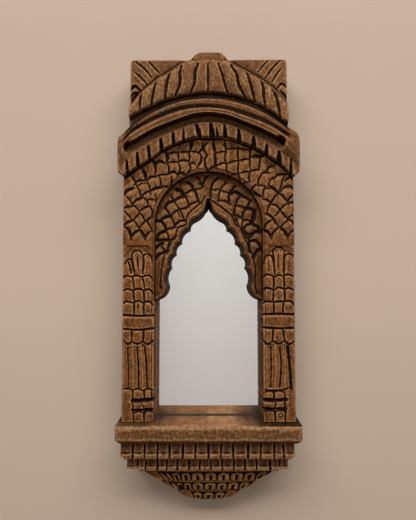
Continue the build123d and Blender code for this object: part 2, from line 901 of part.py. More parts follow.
def hanger_plate():
    """Strap folded round the ring's straight bar and screwed down below it."""
    half = strap_width / 2
    low = pivot_z - strap_drop
    plate = box(-half, half, low, pivot_z, recess_depth, recess_depth - strap_thickness)
    hole = ring_wire_radius + ring_pin_gap
    centre = (-half, -pivot_depth, pivot_z)
    outer = recess_depth - pivot_depth
    loop = peg(outer, strap_width, centre, (1, 0, 0))
    plate += loop
    plate -= peg(hole, strap_width + 2 * overrun, (-half - overrun, -pivot_depth, pivot_z), (1, 0, 0))
    for cutter in hanger_screw_list(ring_pin_gap):
        plate -= cutter
    return plate


def hanger_ring():
    """Wire loop that hangs from its straight top bar."""
    half = ring_half_width
    low = pivot_z - ring_length
    path = Plane.XZ.offset(pivot_depth) * Polyline(
        (-half, pivot_z), (half, pivot_z), (half, low), (-half, low), close=True)
    start = Plane((-half, -pivot_depth, pivot_z), z_dir=(1, 0, 0))
    return sweep(start * Circle(ring_wire_radius), path=path, transition=Transition.RIGHT)


def group(shapes):
    return Compound(children=[shape.solid() if hasattr(shape, "solid") else shape for shape in shapes])


nodes = {
    "crown_block": crown_block,
    "eave_block": eave_block,
    "arch_head": arch_head,
    "right_post": right_post,
    "left_post": lambda: mirrored(right_post()),
    "cusped_arch": cusped_arch,
    "mirror_glass": mirror_glass,
    "back_board": back_board,
    "back_brads": lambda: group(brads()),
    "sill_ledge": sill_ledge,
    "upper_tooth_rail": upper_tooth_rail,
    "lower_tooth_rail": lower_tooth_rail,
    "base_corbel": base_corbel,
    "crown_dowels": lambda: group(crown_dowel_list()),
    "eave_dowels": lambda: group(eave_dowel_list()),
    "post_dowels_top": lambda: group(post_dowel_list(post_top_z)),
    "post_dowels_bottom": lambda: group(post_dowel_list(shelf_top_z)),
    "base_screws": lambda: group(base_screw_list()),
    "corbel_screws": lambda: group(corbel_screw_list()),
    "eave_nails": lambda: group(eave_nail_list()),
    "hanger_plate": hanger_plate,
    "hanger_ring": hanger_ring,
    "hanger_screws": lambda: group(hanger_screw_list()),
}

os.makedirs("parts", exist_ok=True)
for name, build in nodes.items():
    export_step(build(), "parts/" + name + ".step")
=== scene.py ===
import bpy
import bmesh
import functools
import math
import numpy as np
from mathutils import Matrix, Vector


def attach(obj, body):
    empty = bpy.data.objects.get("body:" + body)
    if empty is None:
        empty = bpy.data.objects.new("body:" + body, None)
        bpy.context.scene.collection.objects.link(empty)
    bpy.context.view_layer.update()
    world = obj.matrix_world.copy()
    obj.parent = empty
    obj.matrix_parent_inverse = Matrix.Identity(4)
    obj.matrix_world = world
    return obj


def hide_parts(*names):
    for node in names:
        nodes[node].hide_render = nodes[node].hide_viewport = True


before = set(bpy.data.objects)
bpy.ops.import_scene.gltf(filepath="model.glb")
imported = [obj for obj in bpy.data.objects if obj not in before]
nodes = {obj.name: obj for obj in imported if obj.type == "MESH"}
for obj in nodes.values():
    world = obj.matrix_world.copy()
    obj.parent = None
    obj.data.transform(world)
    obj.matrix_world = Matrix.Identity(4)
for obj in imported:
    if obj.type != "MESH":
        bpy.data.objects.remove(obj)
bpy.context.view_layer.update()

# Lengths are in mm and depths are counted out from the wall; the scene itself is in metres
PER_METRE = 1000
TINY = 1e-6

# The camera of the photograph, with its focal length and its middle in pixels
FOCAL = 406.0
CENTRE_U, CENTRE_V = 208.0, 260.0
PHOTO_HIGH = 520
EYE = (-0.85, -586.0, -5.0)
TILT = math.radians(2.82)

# Gouges are cut this much wider and deeper than their traced values
WIDER, DEEPER = 1.62, 1.35


def at(u, v, depth):
    """Place on the plane at a depth in front of the wall that a pixel of the photograph shows."""
    up = (CENTRE_V - v) / FOCAL
    forward = math.cos(TILT) - up * math.sin(TILT)
    rise = math.sin(TILT) + up * math.cos(TILT)
    far = (-depth - EYE[1]) / forward
    return EYE[0] + far * (u - CENTRE_U) / FOCAL, EYE[2] + far * rise


def seen(X, Z, depth):
    """Pixel of the photograph where places on the plane at a depth are seen."""
    away, up = -depth - EYE[1], Z - EYE[2]
    forward = away * math.cos(TILT) + up * math.sin(TILT)
    rise = up * math.cos(TILT) - away * math.sin(TILT)
    return CENTRE_U + FOCAL * (X - EYE[0]) / forward, CENTRE_V - FOCAL * rise / forward


def places(line, depth):
    """Places that a line of pixels shows on the plane at a depth."""
    return np.array([at(u, v, depth) for u, v in line])


def height_at(v, depth):
    """Height that a row of pixels shows on the plane at a depth."""
    return at(CENTRE_U, v, depth)[1]


# Noise and small array tools
NOISE_CELLS = 128
NOISE_SHIFT = (512.3, 512.7)


def noise(x, z, size, seed):
    """Smooth seeded noise from -1 to 1 with features of one size."""
    table = np.random.default_rng(seed).uniform(-1, 1, (NOISE_CELLS, NOISE_CELLS))
    gx, gz = x / size + NOISE_SHIFT[0], z / size + NOISE_SHIFT[1]
    ix, iz = np.floor(gx).astype(int), np.floor(gz).astype(int)
    fx, fz = gx - ix, gz - iz
    fx, fz = fx * fx * (3 - 2 * fx), fz * fz * (3 - 2 * fz)
    ix, iz, jx, jz = [k % NOISE_CELLS for k in (ix, iz, ix + 1, iz + 1)]
    low = table[ix, iz] * (1 - fx) + table[jx, iz] * fx
    high = table[ix, jz] * (1 - fx) + table[jx, jz] * fx
    return low * (1 - fz) + high * fz


def ramp(value, low, high):
    """Smooth step from 0 at the low value to 1 at the high one."""
    part = np.clip((value - low) / (high - low), 0, 1)
    return part * part * (3 - 2 * part)


def bell(offset, width):
    """1 in the middle, falling away on both sides."""
    return np.exp(-(offset / width) ** 2)


def highest(*layers):
    return functools.reduce(np.maximum, layers)


def rounded(gap, radius):
    """Loss of depth near an edge, for a worn arris."""
    g = np.clip(1 - gap / radius, 0, 1)
    return radius * (1 - np.sqrt(1 - g * g))


def running_mean(values, reach):
    count = 2 * reach + 1
    return np.convolve(np.pad(values, reach, mode="edge"), np.ones(count) / count, "valid")


def blur(field, reach):
    """Running mean over a grid, three times each way."""
    size = 2 * reach + 1
    for axis in (0, 1):
        pad = [(0, 0), (0, 0)]
        pad[axis] = (reach + 1, reach)
        n = field.shape[axis]
        for _ in range(3):
            total = np.cumsum(np.pad(field, pad, mode="edge"), axis=axis)
            head = np.take(total, range(size, size + n), axis=axis)
            tail = np.take(total, range(0, n), axis=axis)
            field = (head - tail) / size
    return field


def smooth(points, step=1.2):
    """Points along a smooth curve through the given ones."""
    p = np.array(points, float)
    if len(p) == 2:
        n = max(2, int(math.dist(*p) / step) + 1)
        return p[0] + np.linspace(0, 1, n)[:, None] * (p[1] - p[0])
    ends = np.vstack([2 * p[0] - p[1], p, 2 * p[-1] - p[-2]])
    out = []
    for i in range(len(p) - 1):
        a, b, c, d = ends[i:i + 4]
        n = max(2, int(math.dist(b, c) / step) + 1)
        t = np.linspace(0, 1, n, endpoint=False)[:, None]
        out.append(0.5 * (2 * b + (c - a) * t + (2 * a - 5 * b + 4 * c - d) * t ** 2
                          + (3 * b - a - 3 * c + d) * t ** 3))
    return np.vstack(out + [p[-1:]])


def nearest(path, p):
    """Offset of each point from the closest place of a path, how far along that is, and the path's length."""
    start, leg = path[:-1], path[1:] - path[:-1]
    gap = p[:, None] - start
    share = np.clip((gap * leg).sum(2) / np.maximum((leg * leg).sum(1), TINY), 0, 1)
    off = gap - share[..., None] * leg
    k = (off ** 2).sum(2).argmin(1)
    row = np.arange(len(k))
    return off[row, k], (k + share[row, k]) / len(start), np.sqrt((leg * leg).sum(1)).sum()


def grid(*spans, step):
    """Places of a rectangular face that spans from one value to another each way."""
    counts = [max(2, round(abs(end - start) / step) + 1) for start, end in spans]
    return np.meshgrid(*[np.linspace(*span, count) for span, count in zip(spans, counts)], indexing="ij")


def between(inner, outer, share):
    """Front view of a face that spans from one line to another, at the given shares of the way."""
    face = inner[:, None] * (1 - share)[None, :, None] + outer[:, None] * share[None, :, None]
    return face[..., 0], face[..., 1]


def both_halves(right):
    """A line that ends on the middle line, followed by its mirror image back to the other foot."""
    return np.vstack([right, right[-2::-1] * [-1, 1]])


# Carving

class Field:
    """A carved face: places on the front view, and how much the gouges take off there."""

    def __init__(self, X, Z, seed):
        self.X, self.Z, self.seed = X, Z, seed
        self.cut = np.zeros_like(X)
        self.soft = np.zeros_like(X)
        self.slope_shade = np.zeros_like(X)

    def groove(self, points, half, deep, shape="lens", shoulder=0.5, soft_width=2.4, lie=None, slope=0.5,
               slope_width=3.0, power=1.6, longer=0.8):
        """A gouge along a path, a little longer at both ends.

        A lens thins at both ends, a tail at its start. On the side that lie points to, the wall is a
        long gentle slope, kept apart so that painted shade can darken it.
        """
        path = smooth(points)
        if longer:
            first, last = path[0] - path[1], path[-1] - path[-2]
            path = np.vstack([path[0] + first * longer / max(np.hypot(*first), TINY), path,
                              path[-1] + last * longer / max(np.hypot(*last), TINY)])
        reach = half * 1.6 + 2.4 * max(soft_width, slope_width if lie else 0)
        low, high = path.min(0) - reach, path.max(0) + reach
        pick = np.nonzero((self.X > low[0]) & (self.X < high[0]) & (self.Z > low[1]) & (self.Z < high[1]))
        if not len(pick[0]):
            return
        off, t, length = nearest(path, np.stack([self.X[pick], self.Z[pick]], 1))
        d = np.sqrt((off ** 2).sum(1))
        self.seed += 1
        wander = 1 + 0.2 * noise(t * length, 0, 3.0, self.seed)
        along = np.ones_like(t)
        if shape == "lens":
            along = np.sin(np.pi * np.clip(t, 0.06, 0.94)) ** 0.4
        if shape == "tail":
            along = 0.35 + 0.65 * ramp(t, 0, 0.7)
        width = half * wander * (0.35 + 0.65 * along)
        core = np.clip(1 - (d / width) ** power, 0, 1)
        self.cut[pick] = np.maximum(self.cut[pick], deep * (0.4 + 0.6 * along) * core)
        soft = shoulder * along * bell(np.maximum(d - width, 0), soft_width)
        if lie:
            way = (off * np.array(lie)).sum(1) / np.maximum(d, TINY)
            gentle = slope * deep * along * bell(d, slope_width) * np.clip(way * 1.6, 0, 1)
            soft = np.maximum(soft, gentle)
            self.slope_shade[pick] = np.maximum(self.slope_shade[pick], gentle / (slope * deep))
        self.soft[pick] = np.maximum(self.soft[pick], soft)

    def traced(self, table, depth, shape="lens", **more):
        """Grooves given as half width, depth of cut and pixels of the photograph."""
        for half, deep, *line in table:
            self.groove(places(line, depth), half * WIDER, deep * DEEPER, shape, **more)

    def carved(self):
        """Depth that the gouges take off, with their soft shoulders."""
        return self.cut + self.soft * (1 - np.clip(self.cut / 1.5, 0, 1))

    def hand(self, amount=0.18):
        """Unevenness that the tools leave."""
        layers = ((1.0, 9.0), (0.6, 3.2), (0.35, 1.3))
        return amount * sum(share * noise(self.X, self.Z, size, self.seed + k)
                            for k, (share, size) in enumerate(layers, 1))

    def taken(self):
        return self.carved() + self.hand()


# Meshes

# Edges that turn by more than this stay sharp
SHARP = math.radians(42)


def link(name, data):
    obj = bpy.data.objects.new(name, data)
    bpy.context.scene.collection.objects.link(obj)
    return obj


def piece(name, mesh):
    """Object of the frame with outward faces, smooth but for its sharp edges."""
    b = bmesh.new()
    b.from_mesh(mesh)
    bmesh.ops.recalc_face_normals(b, faces=b.faces)
    b.to_mesh(mesh)
    b.free()
    for face in mesh.polygons:
        face.use_smooth = True
    mesh.set_sharp_from_angle(angle=SHARP)
    mesh.update()
    obj = link(name, mesh)
    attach(obj, "frame")
    return obj


def mark(mesh, label, front, rear, shape):
    """Value for the wood material at every point: one for each front point, then those behind."""
    full = np.zeros(shape, np.float32)
    full[:, :front.shape[1]] = front
    full[:, front.shape[1]:] = rear
    mesh.attributes.new(label, "FLOAT", "POINT").data.foreach_set("value", full.ravel())


def body(node, X, Z, D, back, dirt_and_shade, wear_and_light=0.0, calm=0.0, behind=0.0):
    """Carved piece that replaces a solid: rings of front points, closed behind, with capped ends.

    Each row of back gives x, z and depth for one more point of every ring. The dirt and shade values add
    dirt and painted shade to the hollows that the carving itself makes, the wear and light values add wear
    and painted highlight to its crests, calm holds those back, and behind is the back rows' painted shade.
    """
    rows = [np.broadcast_arrays(*row, X[:, 0])[:3] for row in back]
    ring_x, ring_z, ring_d = [np.column_stack([front] + [row[k] for row in rows])
                              for k, front in enumerate((X, Z, D))]
    count, n = ring_x.shape
    co = np.stack([ring_x, -ring_d, ring_z], 2).reshape(-1, 3) / PER_METRE
    i, j = np.meshgrid(np.arange(count - 1), np.arange(n), indexing="ij")
    j2 = (j + 1) % n
    quads = np.stack([i * n + j, i * n + j2, (i + 1) * n + j2, (i + 1) * n + j], 2).reshape(-1, 4)
    caps = [list(range(n))[::-1], list(range((count - 1) * n, count * n))]
    mesh = bpy.data.meshes.new("carved_" + node)
    mesh.from_pydata(co.tolist(), [], quads.tolist() + caps)
    # the hollows of the carving are darkened for dirt and painted shade, and its crests paled for wear and
    # painted highlight
    hollow = np.clip((blur(D, 5) - D) / 0.8, 0, 1) ** 0.8 * (1 - calm)
    crest = np.clip((D - blur(D, 2)) / 0.2, 0, 1) * (1 - calm)
    mark(mesh, "hollow", np.maximum(hollow, ramp(dirt_and_shade, 0.35, 1.7)), behind, ring_x.shape)
    mark(mesh, "crest", np.maximum(crest, wear_and_light), 0, ring_x.shape)
    obj = piece("carved_" + node, mesh)
    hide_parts(node)
    return obj


# Sizes that the CAD model has: half widths, heights above the middle, depths and radii
HALF, OPEN, DEPTH = 116.0, 73.0, 38.0
SHELF_TOP, POST_TOP, ARCH_Z = -194.0, 42.0, 70.0
REBATE, REBATE_HALF, REBATE_TOP, REBATE_LOW = 6.0, 83.0, 153.0, -204.0
EAVE_R, EAVE_HALF, EAVE_LOW, DOME_LOW = 150.0, 122.5, 190.0, 248.0
CROWN_HALF, CROWN_TOP = 107.8, 298.3
FOOT_Z = -34.4
LIP, LIP_TOP = 77.2, 10.2
SHELF_HIGH, RAIL_1_HIGH, RAIL_2_HIGH = 23.5, 20.8, 17.7
RAIL_1_TOP = SHELF_TOP - SHELF_HIGH
RAIL_2_TOP = RAIL_1_TOP - RAIL_1_HIGH
CORBEL_TOP = RAIL_2_TOP - RAIL_2_HIGH


def drop(x):
    """Fall of the eave's arc below its middle."""
    return EAVE_R - np.sqrt(EAVE_R ** 2 - x ** 2)


# Strokes of the posts: half width and depth of cut, then pixels of the photograph
LEFT_POST = [
    (1.1, 2.2, (125, 264), (127, 260), (130, 259), (132, 262.5)),
    (1.2, 2.6, (131.5, 259), (133, 266.5), (134.5, 273.5)),
    (1.2, 2.4, (132, 258.5), (131.5, 254.5), (133.5, 251.5), (137, 250.5), (140, 251), (143, 255)),
    (1.1, 2.4, (143, 255.5), (143.5, 264), (142.5, 273)),
    (1.1, 2.2, (143, 256), (146.5, 254), (150.5, 256), (152, 261)),
    (1.0, 2.4, (128.5, 262.5), (130, 267.5), (131, 273)),
    (0.9, 2.2, (137, 257), (137.5, 263), (138, 267.5)),
    (1.1, 2.2, (123, 278), (126.5, 275.5), (131.5, 277)),
    (1.1, 2.2, (132, 277), (135.5, 275.5), (141.5, 277)),
    (1.1, 2.2, (142, 277), (146.5, 275.5), (150, 276), (152.5, 280)),
    (1.1, 2.3, (124, 290.5), (127.5, 289), (132.5, 291)),
    (1.1, 2.3, (133, 291), (137, 289), (141.5, 289.5), (143, 291)),
    (1.1, 2.3, (143.5, 291), (147, 289.5), (150, 290), (152.5, 293)),
    (1.1, 2.3, (124, 303), (126.5, 301.5), (132.5, 303)),
    (1.1, 2.3, (133, 303), (138, 301), (143, 303)),
    (1.1, 2.3, (143.5, 303), (147, 301.5), (150.5, 302.5), (152.5, 305)),
    (1.0, 2.3, (132, 277.5), (133.5, 283), (134, 289.5)),
    (1.0, 2.4, (133.5, 291.5), (133.5, 296), (134.5, 302)),
    (1.0, 2.4, (134, 303), (134, 309), (134, 315)),
    (1.0, 2.2, (142, 277.5), (143.5, 282), (144.5, 288)),
    (1.0, 2.4, (143.5, 291.5), (144, 296), (144, 302)),
    (1.0, 2.4, (144, 303.5), (143.5, 309), (144, 315)),
    (0.9, 2.0, (138, 304.5), (138, 308.5)),
    (1.0, 2.1, (131.5, 330.5), (131.5, 336), (131.5, 342)),
    (1.1, 2.4, (143.5, 330), (143.5, 336), (142.5, 342)),
    (1.1, 2.2, (124, 341), (127.5, 344.5), (131.5, 342)),
    (1.1, 2.2, (131.5, 342), (137, 344), (142, 342)),
    (1.1, 2.2, (142.5, 341.5), (147.5, 344.5), (152.5, 341)),
    (1.0, 2.2, (122.5, 389.5), (127.5, 389), (132, 390)),
    (1.1, 2.4, (132.5, 390.5), (137, 389), (143, 390.5)),
    (1.1, 2.4, (143.5, 391), (147.5, 389), (152.5, 390)),
    (1.0, 2.4, (132.5, 390.5), (132.5, 399)),
    (1.0, 2.4, (144, 391.5), (144.5, 399)),
    (0.8, 1.6, (151.5, 391.5), (151.5, 398)),
    (0.9, 1.6, (132.5, 399), (133, 410), (133.5, 422)),
    (0.8, 1.6, (142, 404), (143.5, 408)),
    (1.0, 2.4, (144, 412.5), (144, 422)),
    (0.9, 1.9, (134, 413.5), (138, 411.5), (142.5, 413)),
    (0.9, 1.9, (144.5, 413), (148.5, 411), (152.5, 412.5)),
]
LEFT_FLUTES = [
    (0.8, 2.2, (127.5, 348.5), (128, 367), (128, 386.5)),
    (1.0, 2.6, (137, 348.5), (138, 363.5), (138.5, 386.5)),
    (1.1, 2.6, (144.5, 347.5), (146, 363.5), (147, 387)),
]
LEFT_HOLLOW = [(2.0, 0.5, (125.5, 254.5), (130, 249), (136.5, 246), (145, 249), (151.5, 255))]
LEFT_POST_LINES = [
    (1.1, 2.4, (123.5, 315), (138, 316), (152.5, 315.5)),
    (1.1, 2.3, (123.5, 329), (138, 330), (153, 328.5)),
    (1.9, 3.6, (133, 401), (143, 400.5), (153, 399.5)),
    (1.3, 3.0, (133, 410.5), (143, 410), (151.5, 409.5)),
]
RIGHT_POST = [
    (1.0, 2.2, (264, 263), (265, 258), (267.5, 255.5), (271, 255.5), (273, 259.5)),
    (1.1, 2.4, (273, 250), (274, 263), (275, 274)),
    (1.1, 2.2, (273, 250.5), (276, 247.5), (281.5, 247.5), (284.5, 250.5)),
    (1.2, 2.5, (284.5, 252.5), (284, 264), (284, 274)),
    (1.0, 2.2, (285, 256.5), (287.5, 254), (291, 254), (294, 257.5)),
    (0.7, 1.0, (278.5, 253), (278, 270)),
    (0.6, 0.9, (268.5, 261), (269.5, 272)),
    (0.6, 0.9, (289.5, 258), (289, 272)),
    (1.1, 2.2, (264, 276.5), (267, 274.5), (273, 276)),
    (1.1, 2.2, (275, 277), (279, 275), (284, 276.5)),
    (1.1, 2.2, (284.5, 276), (288, 274.5), (294, 276.5)),
    (1.1, 2.3, (263.5, 290), (267, 288), (273, 289.5)),
    (1.1, 2.3, (275, 290), (279, 287.5), (284, 289.5)),
    (1.1, 2.3, (285, 289.5), (289, 288), (294, 290.5)),
    (1.1, 2.3, (263.5, 303), (266, 301.5), (272.5, 302)),
    (1.1, 2.3, (274, 302.5), (278.5, 301.5), (284, 301.5)),
    (1.1, 2.3, (284.5, 302), (288.5, 301), (291.5, 302), (294, 305)),
    (1.1, 2.4, (273.5, 277), (274, 283), (273.5, 289)),
    (1.1, 2.4, (284, 277), (284.5, 283), (284.5, 289)),
    (1.0, 2.4, (273.5, 290), (273.5, 296), (273, 302)),
    (1.1, 2.4, (284.5, 290), (285, 296), (285, 301.5)),
    (1.1, 2.4, (274, 303), (274, 309), (274, 314.5)),
    (1.0, 2.4, (283.5, 303), (283, 309), (283.5, 314.5)),
    (1.1, 2.4, (273, 329.5), (273, 335), (272.5, 341.5)),
    (1.1, 2.4, (283, 329), (284, 335), (285, 341)),
    (1.1, 2.3, (263.5, 340.5), (268, 344.5), (272.5, 341)),
    (1.1, 2.3, (273, 341), (278.5, 344), (284.5, 341)),
    (1.1, 2.3, (285, 340.5), (289.5, 344.5), (294.5, 341)),
    (1.1, 2.4, (264, 389.5), (270, 390.5), (277, 390.5), (283, 390), (288.5, 388.5)),
    (0.9, 2.0, (264.5, 392.5), (268.5, 391.5), (273.5, 392.5)),
    (0.9, 2.0, (275, 392.5), (279, 391), (284, 392.5)),
    (1.1, 2.4, (274, 391.5), (274.5, 399.5)),
    (1.1, 2.2, (285, 391.5), (285, 400), (285.5, 411), (285.5, 422)),
    (0.9, 2.0, (275.5, 403.5), (275.5, 408.5)),
    (1.0, 2.2, (264.5, 412), (268.5, 410.5), (274.5, 411.5)),
    (1.0, 2.2, (276, 412), (280, 410.5), (284.5, 411.5)),
    (1.1, 2.4, (275, 412), (275.5, 422)),
    (0.6, 1.0, (278.5, 416), (280.5, 413.5), (283, 416), (280.5, 418), (278.5, 416)),
]
RIGHT_FLUTES = [
    (0.9, 2.4, (271, 348.5), (271.5, 368.5), (271, 386.5)),
    (1.1, 2.6, (280, 347.5), (281.5, 366), (280, 387)),
    (1.7, 3.0, (288, 347.5), (290, 366), (291.5, 388.5)),
]
RIGHT_HOLLOW = [(1.8, 0.5, (265, 257.5), (268.5, 252.5), (273, 249), (278.5, 246.5), (284.5, 248.5),
                 (289.5, 252), (293, 255.5))]
RIGHT_POST_LINES = [
    (1.2, 2.4, (263.5, 314.5), (278, 314), (294, 314.5)),
    (1.2, 2.3, (263.5, 327.5), (278, 328.5), (294.5, 328)),
    (1.8, 3.6, (264, 400), (275, 400.5), (285.5, 400)),
    (1.3, 3.0, (264, 409), (275, 409), (285.5, 409)),
]

# Pixel columns of each post, left and right: middle of the petals, and edge of the foot's plain strip
PETALS_U, STRIP_U = {-1: 138, 1: 279}, {-1: 133, 1: 285.4}
# Pixel rows of the posts: hollow behind the petals, flutes, head of the blocks at the foot, and the
# row where the plain strip's edge is read
HOLLOW_V, FLUTES_V, BLOCKS_V, STRIP_V = (247.5, 275), (343.5, 389), 399, 410
# Round head of the hollow behind the petals: its half width and its rise
HOLLOW_HALF, HOLLOW_RISE = 19.5, 9.0
# Thin line beside the opening: distances from its edge, and loss of depth there
POST_RIM = (2.6, 3.4, 4.2), (0, 0.9, 0)
# Below the foot of the cusped panel, the rebate's floor runs in to the opening by these half widths
BELOW_LIP = (75.6, 74.3)
# The right reveal slants in towards the glass
REVEAL_SLANT = {-1: 0.0, 1: 2.0}


def post(node, side, strokes, lines, flutes, hollow, seed):
    """One post. S is the distance from the middle line, whichever side the post is on."""
    Z, S = grid((SHELF_TOP, POST_TOP), (OPEN, HALF), step=0.5)
    X = side * S
    from_opening, from_side, from_shelf = S - OPEN, HALF - S, Z - SHELF_TOP
    f = Field(X, Z, seed)
    f.traced(strokes, DEPTH)
    f.traced(lines, DEPTH, "even", shoulder=0.35, soft_width=1.4)
    f.traced(flutes, DEPTH, "even", shoulder=1.3, soft_width=3.2, power=1.3)
    f.traced(hollow, DEPTH, "even", shoulder=1.4, soft_width=3.4, longer=0)
    D = DEPTH - f.taken()
    # the ground behind the petals is set back under its round head
    middle, top = at(PETALS_U[side], HOLLOW_V[0], DEPTH)
    head = top - ((X - middle) / HOLLOW_HALF) ** 2 * HOLLOW_RISE
    D -= 0.5 * ramp(head - Z, 0, 2.5) * ramp(Z - height_at(HOLLOW_V[1], DEPTH), 0, 1.5)
    # the flutes lie a little deeper than the rest
    top, low = [height_at(v, DEPTH) for v in FLUTES_V]
    D -= 0.7 * ramp(top - Z, 0, 1.5) * ramp(Z - low, 0, 1.5)
    # a thin line beside the opening, and worn edges
    D -= np.interp(from_opening, *POST_RIM)
    D -= rounded(from_opening, 1.0 + 0.35 * noise(Z, 0, 11, seed))
    D -= rounded(from_side, 1.3 + 0.6 * noise(Z, 0, 8, seed + 1)) + rounded(from_shelf, 1.3)
    beside_panel = ramp(Z - FOOT_Z, 0, 2)
    # the blocks at the foot are darker than the plain strip beside them
    strip = abs(at(STRIP_U[side], STRIP_V, DEPTH)[0])
    blocks = ramp(height_at(BLOCKS_V, DEPTH) - Z, 0, 6) * ramp(strip - S, 0, 1.5)
    # painted shade in the gouges, along the shelf and beside the opening's edge, where shade falls, and the
    # blocks at the foot darker
    dirt_and_shade = highest(f.cut * 1.5, 1.6 * ramp(1.6 - from_shelf, 0, 1.0),
                   1.6 * ramp(1.1 - from_opening, 0, 0.6) * beside_panel,
                   0.85 * blocks * (0.8 + 0.4 * noise(X, Z, 7, seed)))
    calm = 0.85 * ramp(4.0 - from_opening, 0, 2.0) * beside_panel
    z = Z[:, 0]
    in_lip = z > FOOT_Z - 0.3
    slant = REVEAL_SLANT[side]
    reveal = np.where(in_lip, LIP_TOP, REBATE)
    back = [
        (side * HALF, z, 0),
        (side * REBATE_HALF, z, 0),
        (side * REBATE_HALF, z, REBATE),
        (side * LIP, z, REBATE),
        (side * np.where(in_lip, LIP, BELOW_LIP[0]), z, reveal),
        (side * np.where(in_lip, OPEN, BELOW_LIP[1]), z, reveal),
        (side * (OPEN - slant), z, np.where(in_lip, LIP_TOP + 0.4, REBATE)),
    ]
    # the last back row of the right reveal is painted a little dark as shade
    return body(node, X, Z, D, back, dirt_and_shade, calm=calm, behind=(0, 0, 0, 0, 0, 0, slant / 5))


# Carved lines of the eave in the photograph: feet and heads of the teeth, upper edge of the slot,
# and the dark groove above its ridge
TOOTH_FEET = (
    (123, 176.5), (129, 172), (139, 165), (149, 158.5), (161, 149), (173, 143), (183.5, 139),
    (194, 136), (210, 136), (228, 136), (236.5, 138.5), (242.5, 141), (250.5, 144), (257, 147),
    (264.5, 151), (268, 153.5), (275.5, 159), (282.5, 164), (289.5, 170.5), (292.5, 174.5),
)
TOOTH_HEADS = (
    (127, 159), (136, 152), (147.5, 145), (160.5, 137.5), (172.5, 132), (183.5, 128), (195, 124),
    (210, 122.5), (223, 124), (237, 128), (252, 135), (265.5, 142.5), (277, 149.5), (291, 158.5),
)
SLOT_TOP = (
    (130, 140.5), (135, 138.5), (145.5, 132), (157.5, 126), (169.5, 121.5), (181.5, 117), (194, 113),
    (210, 111.5), (217.5, 112.5), (230, 115), (242.5, 120), (255, 125), (267.5, 130.5), (277, 135.5),
    (282, 140),
)
RIDGE_TOP = (
    (120, 144.5), (132, 130), (145.5, 122), (157.5, 116.5), (169.5, 111.5), (181.5, 108), (194, 106.5),
    (210, 106.5), (224, 107.5), (236.5, 111), (249, 115), (261.5, 119.5), (274, 125.5), (283, 131),
    (292, 136),
)


def sag_of(line, height, x):
    """How far a traced line lies under the true arc at its height above the eave line."""
    depth = np.interp(height, [0, TOOTH_H, SLOT_TOP_H, 39], [TOOTH, TOOTH, RIDGE, 50])
    spots = places(line, depth)
    return np.interp(x, spots[:, 0], EAVE_LOW + height - drop(spots[:, 0]) - spots[:, 1])


